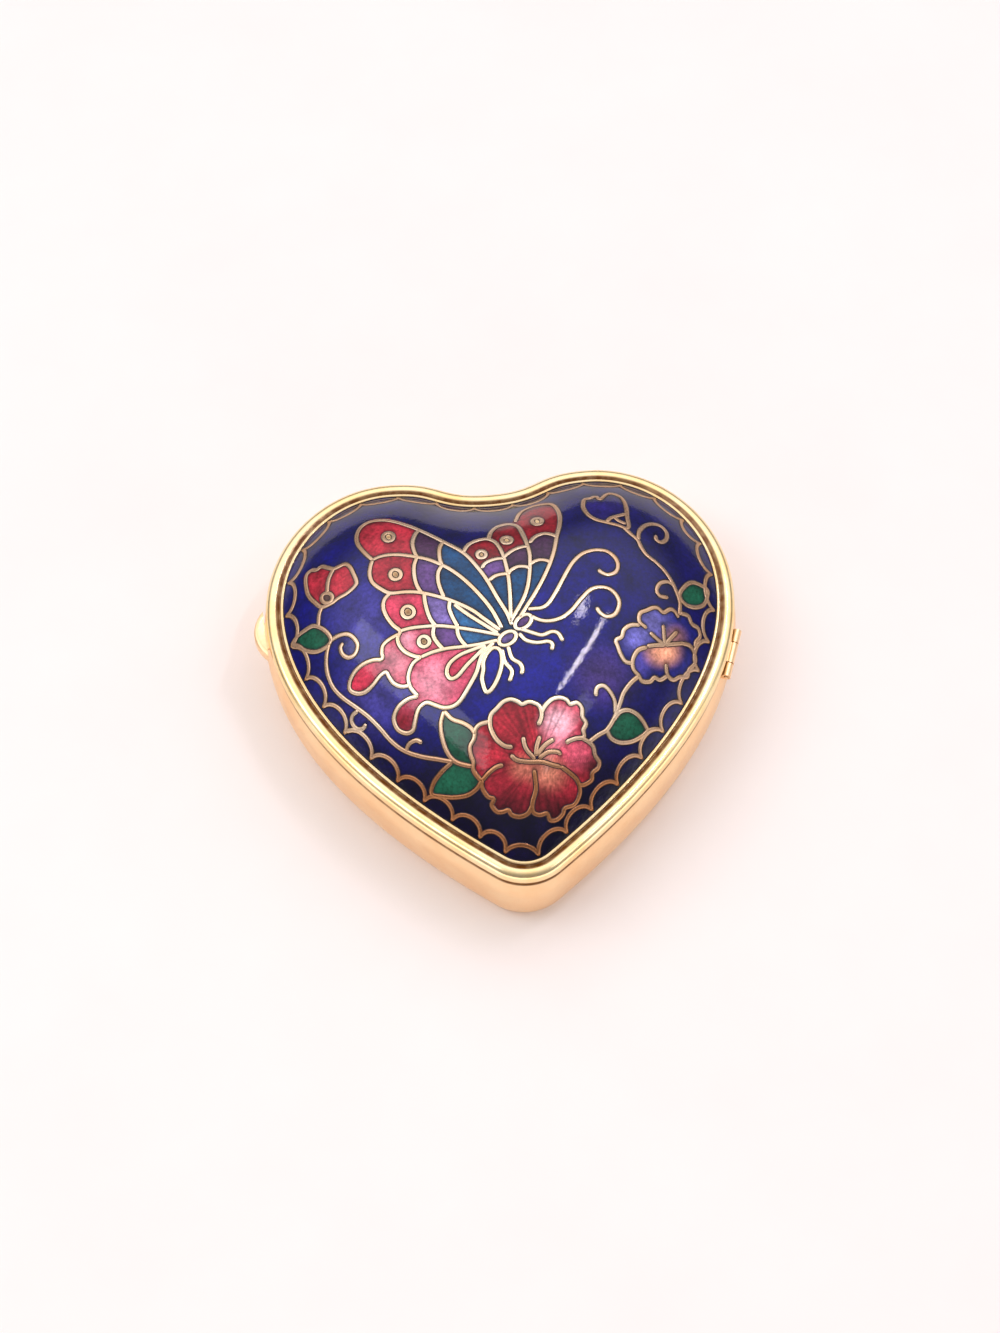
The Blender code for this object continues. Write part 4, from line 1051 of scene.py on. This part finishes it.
def picture_lines():
    """Every wire as plan points, open ones and closed ones, and as pixels."""
    open_pixels = [smooth_line(line) for line in OPEN_WIRES]
    closed_pixels = [smooth_line(line, closed=True)[:-1] for line in CLOSED_WIRES]
    closed_pixels += [smooth_line(oval(*ring), closed=True, step=1.0)[:-1] for ring in EYE_RINGS]
    sizes = np.cumsum([len(line) for line in open_pixels + closed_pixels])[:-1]
    plans = np.split(DOME.under(np.concatenate(open_pixels + closed_pixels)), sizes)
    return plans[:len(open_pixels)], plans[len(open_pixels):]


def seen_lines(plans):
    """Plan lines on the dome, as dense pixels of the photograph."""
    seen = []
    for plan in plans:
        places, _ = DOME.place(plan)
        pixels = to_photo(places)
        dense = np.linspace(0, len(pixels) - 1, 5 * len(pixels))
        seen.append(np.column_stack([np.interp(dense, range(len(pixels)), pixels[:, axis]) for axis in (0, 1)]))
    return seen


def dress(obj, material, body):
    """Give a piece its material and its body."""
    obj.data.materials.clear()
    obj.data.materials.append(material)
    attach(obj, body)


def build_object():
    """All the pieces of the box."""
    # The rim's dark colour is brown patina and painted shade; the cup's is painted shade in the gap under the bead.
    bead_gilt = gilt("polished_gilt", (255, 232, 184), (252, 216, 152), 0.2, ("patina_and_shade", (112, 60, 2)), 0.35)
    cup_gilt = gilt("satin_gilt", (255, 220, 176), (250, 208, 160), 0.34, ("patina_and_shade", (140, 92, 54)))
    # The wires' last colour is painted shade, away from the lit middle and towards the bottom.
    wire_gilt = gilt("wire_gilt", (252, 236, 212), (240, 212, 176), 0.3, ("seam", (30, 14, 34)), 0.3,
                     ("painted_shade", (166, 112, 76)))
    open_plans, closed_plans = picture_lines()
    scallops = scallop_lines()
    closed_loops = [np.concatenate([plan, plan[:1]]) for plan in closed_plans]
    plaque = make_plaque(seen_lines(open_plans + scallops + closed_loops))
    dress(plaque, enamel_glass(), "lid")
    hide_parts("enamel_plaque")
    wires = make_wires(open_plans + scallops, closed_plans)
    dress(wires, wire_gilt, "lid")
    rim = make_frame()
    dress(rim, bead_gilt, "lid")
    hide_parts("lid_frame")
    cup = make_cup()
    cut_barrel(cup)
    dress(cup, cup_gilt, "base")
    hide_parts("base_cup")
    for name in ("hinge_base_leaf", "hinge_lid_leaf", "hinge_pin", "thumb_catch"):
        node = frame["nodes"][name]
        for slot in node.material_slots:
            slot.material = cup_gilt


# Floor, lights and camera


def build_stage():
    """A pale floor under the box."""
    half = 900
    floor = mesh_object("floor", [(-half, -half, 0), (half, -half, 0), (half, half, 0), (-half, half, 0)],
                        [(0, 1, 2, 3)], smooth=False)
    floor.location.z = -0.01 * MM
    floor.data.materials.append(studio_paper())


def area_light(name, first_end, second_end, width, power, colour):
    """A soft strip between two ends, in millimetres, that looks at the middle of the lid."""
    light = bpy.data.lights.new(name, "AREA")
    light.shape = "RECTANGLE"
    first_end, second_end = Vector(first_end), Vector(second_end)
    middle = (first_end + second_end) / 2
    outward = (middle - LIGHT_AIM).normalized()
    along = first_end - second_end
    along = (along - outward * along.dot(outward)).normalized()
    light.size, light.size_y = width * MM, (first_end - second_end).length * MM
    light.energy = power
    light.color = colour
    obj = bpy.data.objects.new(name, light)
    turn = Matrix([along.cross(outward), along, outward]).transposed().to_4x4()
    obj.matrix_world = Matrix.Translation(middle * MM) @ turn
    bpy.context.scene.collection.objects.link(obj)


def build_lights():
    """A pale room, darker in front, with a soft box on the left and a bright narrow window on the right."""
    world = bpy.data.worlds.new("studio")
    world.use_nodes = True
    tree = world.node_tree
    direction = tree.nodes.new("ShaderNodeTexCoord").outputs["Generated"]
    split = tree.nodes.new("ShaderNodeSeparateXYZ")
    tree.links.new(direction, split.inputs[0])

    def ramp(axis, low, high, new_low, new_high):
        node = tree.nodes.new("ShaderNodeMapRange")
        node.interpolation_type = "SMOOTHSTEP"
        for index, value in enumerate((low, high, new_low, new_high), 1):
            node.inputs[index].default_value = value
        tree.links.new(split.outputs[axis], node.inputs[0])
        return node.outputs[0]

    def joined(operation, first, second):
        node = tree.nodes.new("ShaderNodeMath")
        node.operation = operation
        tree.links.new(first, node.inputs[0])
        tree.links.new(second, node.inputs[1])
        return node.outputs[0]

    walls = joined("MULTIPLY", ramp("Y", -0.7, 0.6, ROOM_FRONT, ROOM_BACK), ramp("Z", 0.2, 0.65, ROOM_LOW, 1))
    table = joined("MULTIPLY", ramp("Y", -0.3, 0.2, ROOM_TABLE, 0), ramp("Z", 0.24, 0.42, 1, 0))
    background = tree.nodes["Background"]
    background.inputs["Color"].default_value = (1.0, 0.97, 0.96, 1)
    tree.links.new(joined("ADD", walls, table), background.inputs["Strength"])
    bpy.context.scene.world = world
    area_light("soft_box", (-345, 130, 310), (-190, -105, 425), 150, SOFT_BOX_POWER, (0.97, 0.96, 1.0))
    area_light("side_box", (285, -20, 380), (215, -125, 410), 80, SIDE_BOX_POWER, (0.97, 0.96, 1.0))
    area_light("window", (167, 125, 318), (137, 40, 352), 4, WINDOW_POWER, (0.96, 0.88, 1.0))
    area_light("pane", (96, 178, 319), (107, 153, 329), 14, PANE_POWER, (0.96, 0.88, 1.0))


def build_camera():
    """The photograph's view."""
    data = bpy.data.cameras.new("camera")
    data.sensor_fit = "VERTICAL"
    data.sensor_width = SENSOR
    data.sensor_height = SENSOR
    data.lens = FOCAL_PIXELS * SENSOR / PHOTO_SIZE[1]
    data.clip_start = 0.01
    camera = bpy.data.objects.new("camera", data)
    turn = Matrix([list(VIEW_RIGHT), list(VIEW_UP), list(VIEW_BACK)]).transposed().to_4x4()
    camera.matrix_world = Matrix.Translation(Vector(VIEW_PLACE.tolist()) * MM) @ turn
    bpy.context.scene.collection.objects.link(camera)
    bpy.context.scene.camera = camera


build_object()
build_stage()
build_lights()
build_camera()
bpy.context.scene.view_settings.view_transform = "Standard"
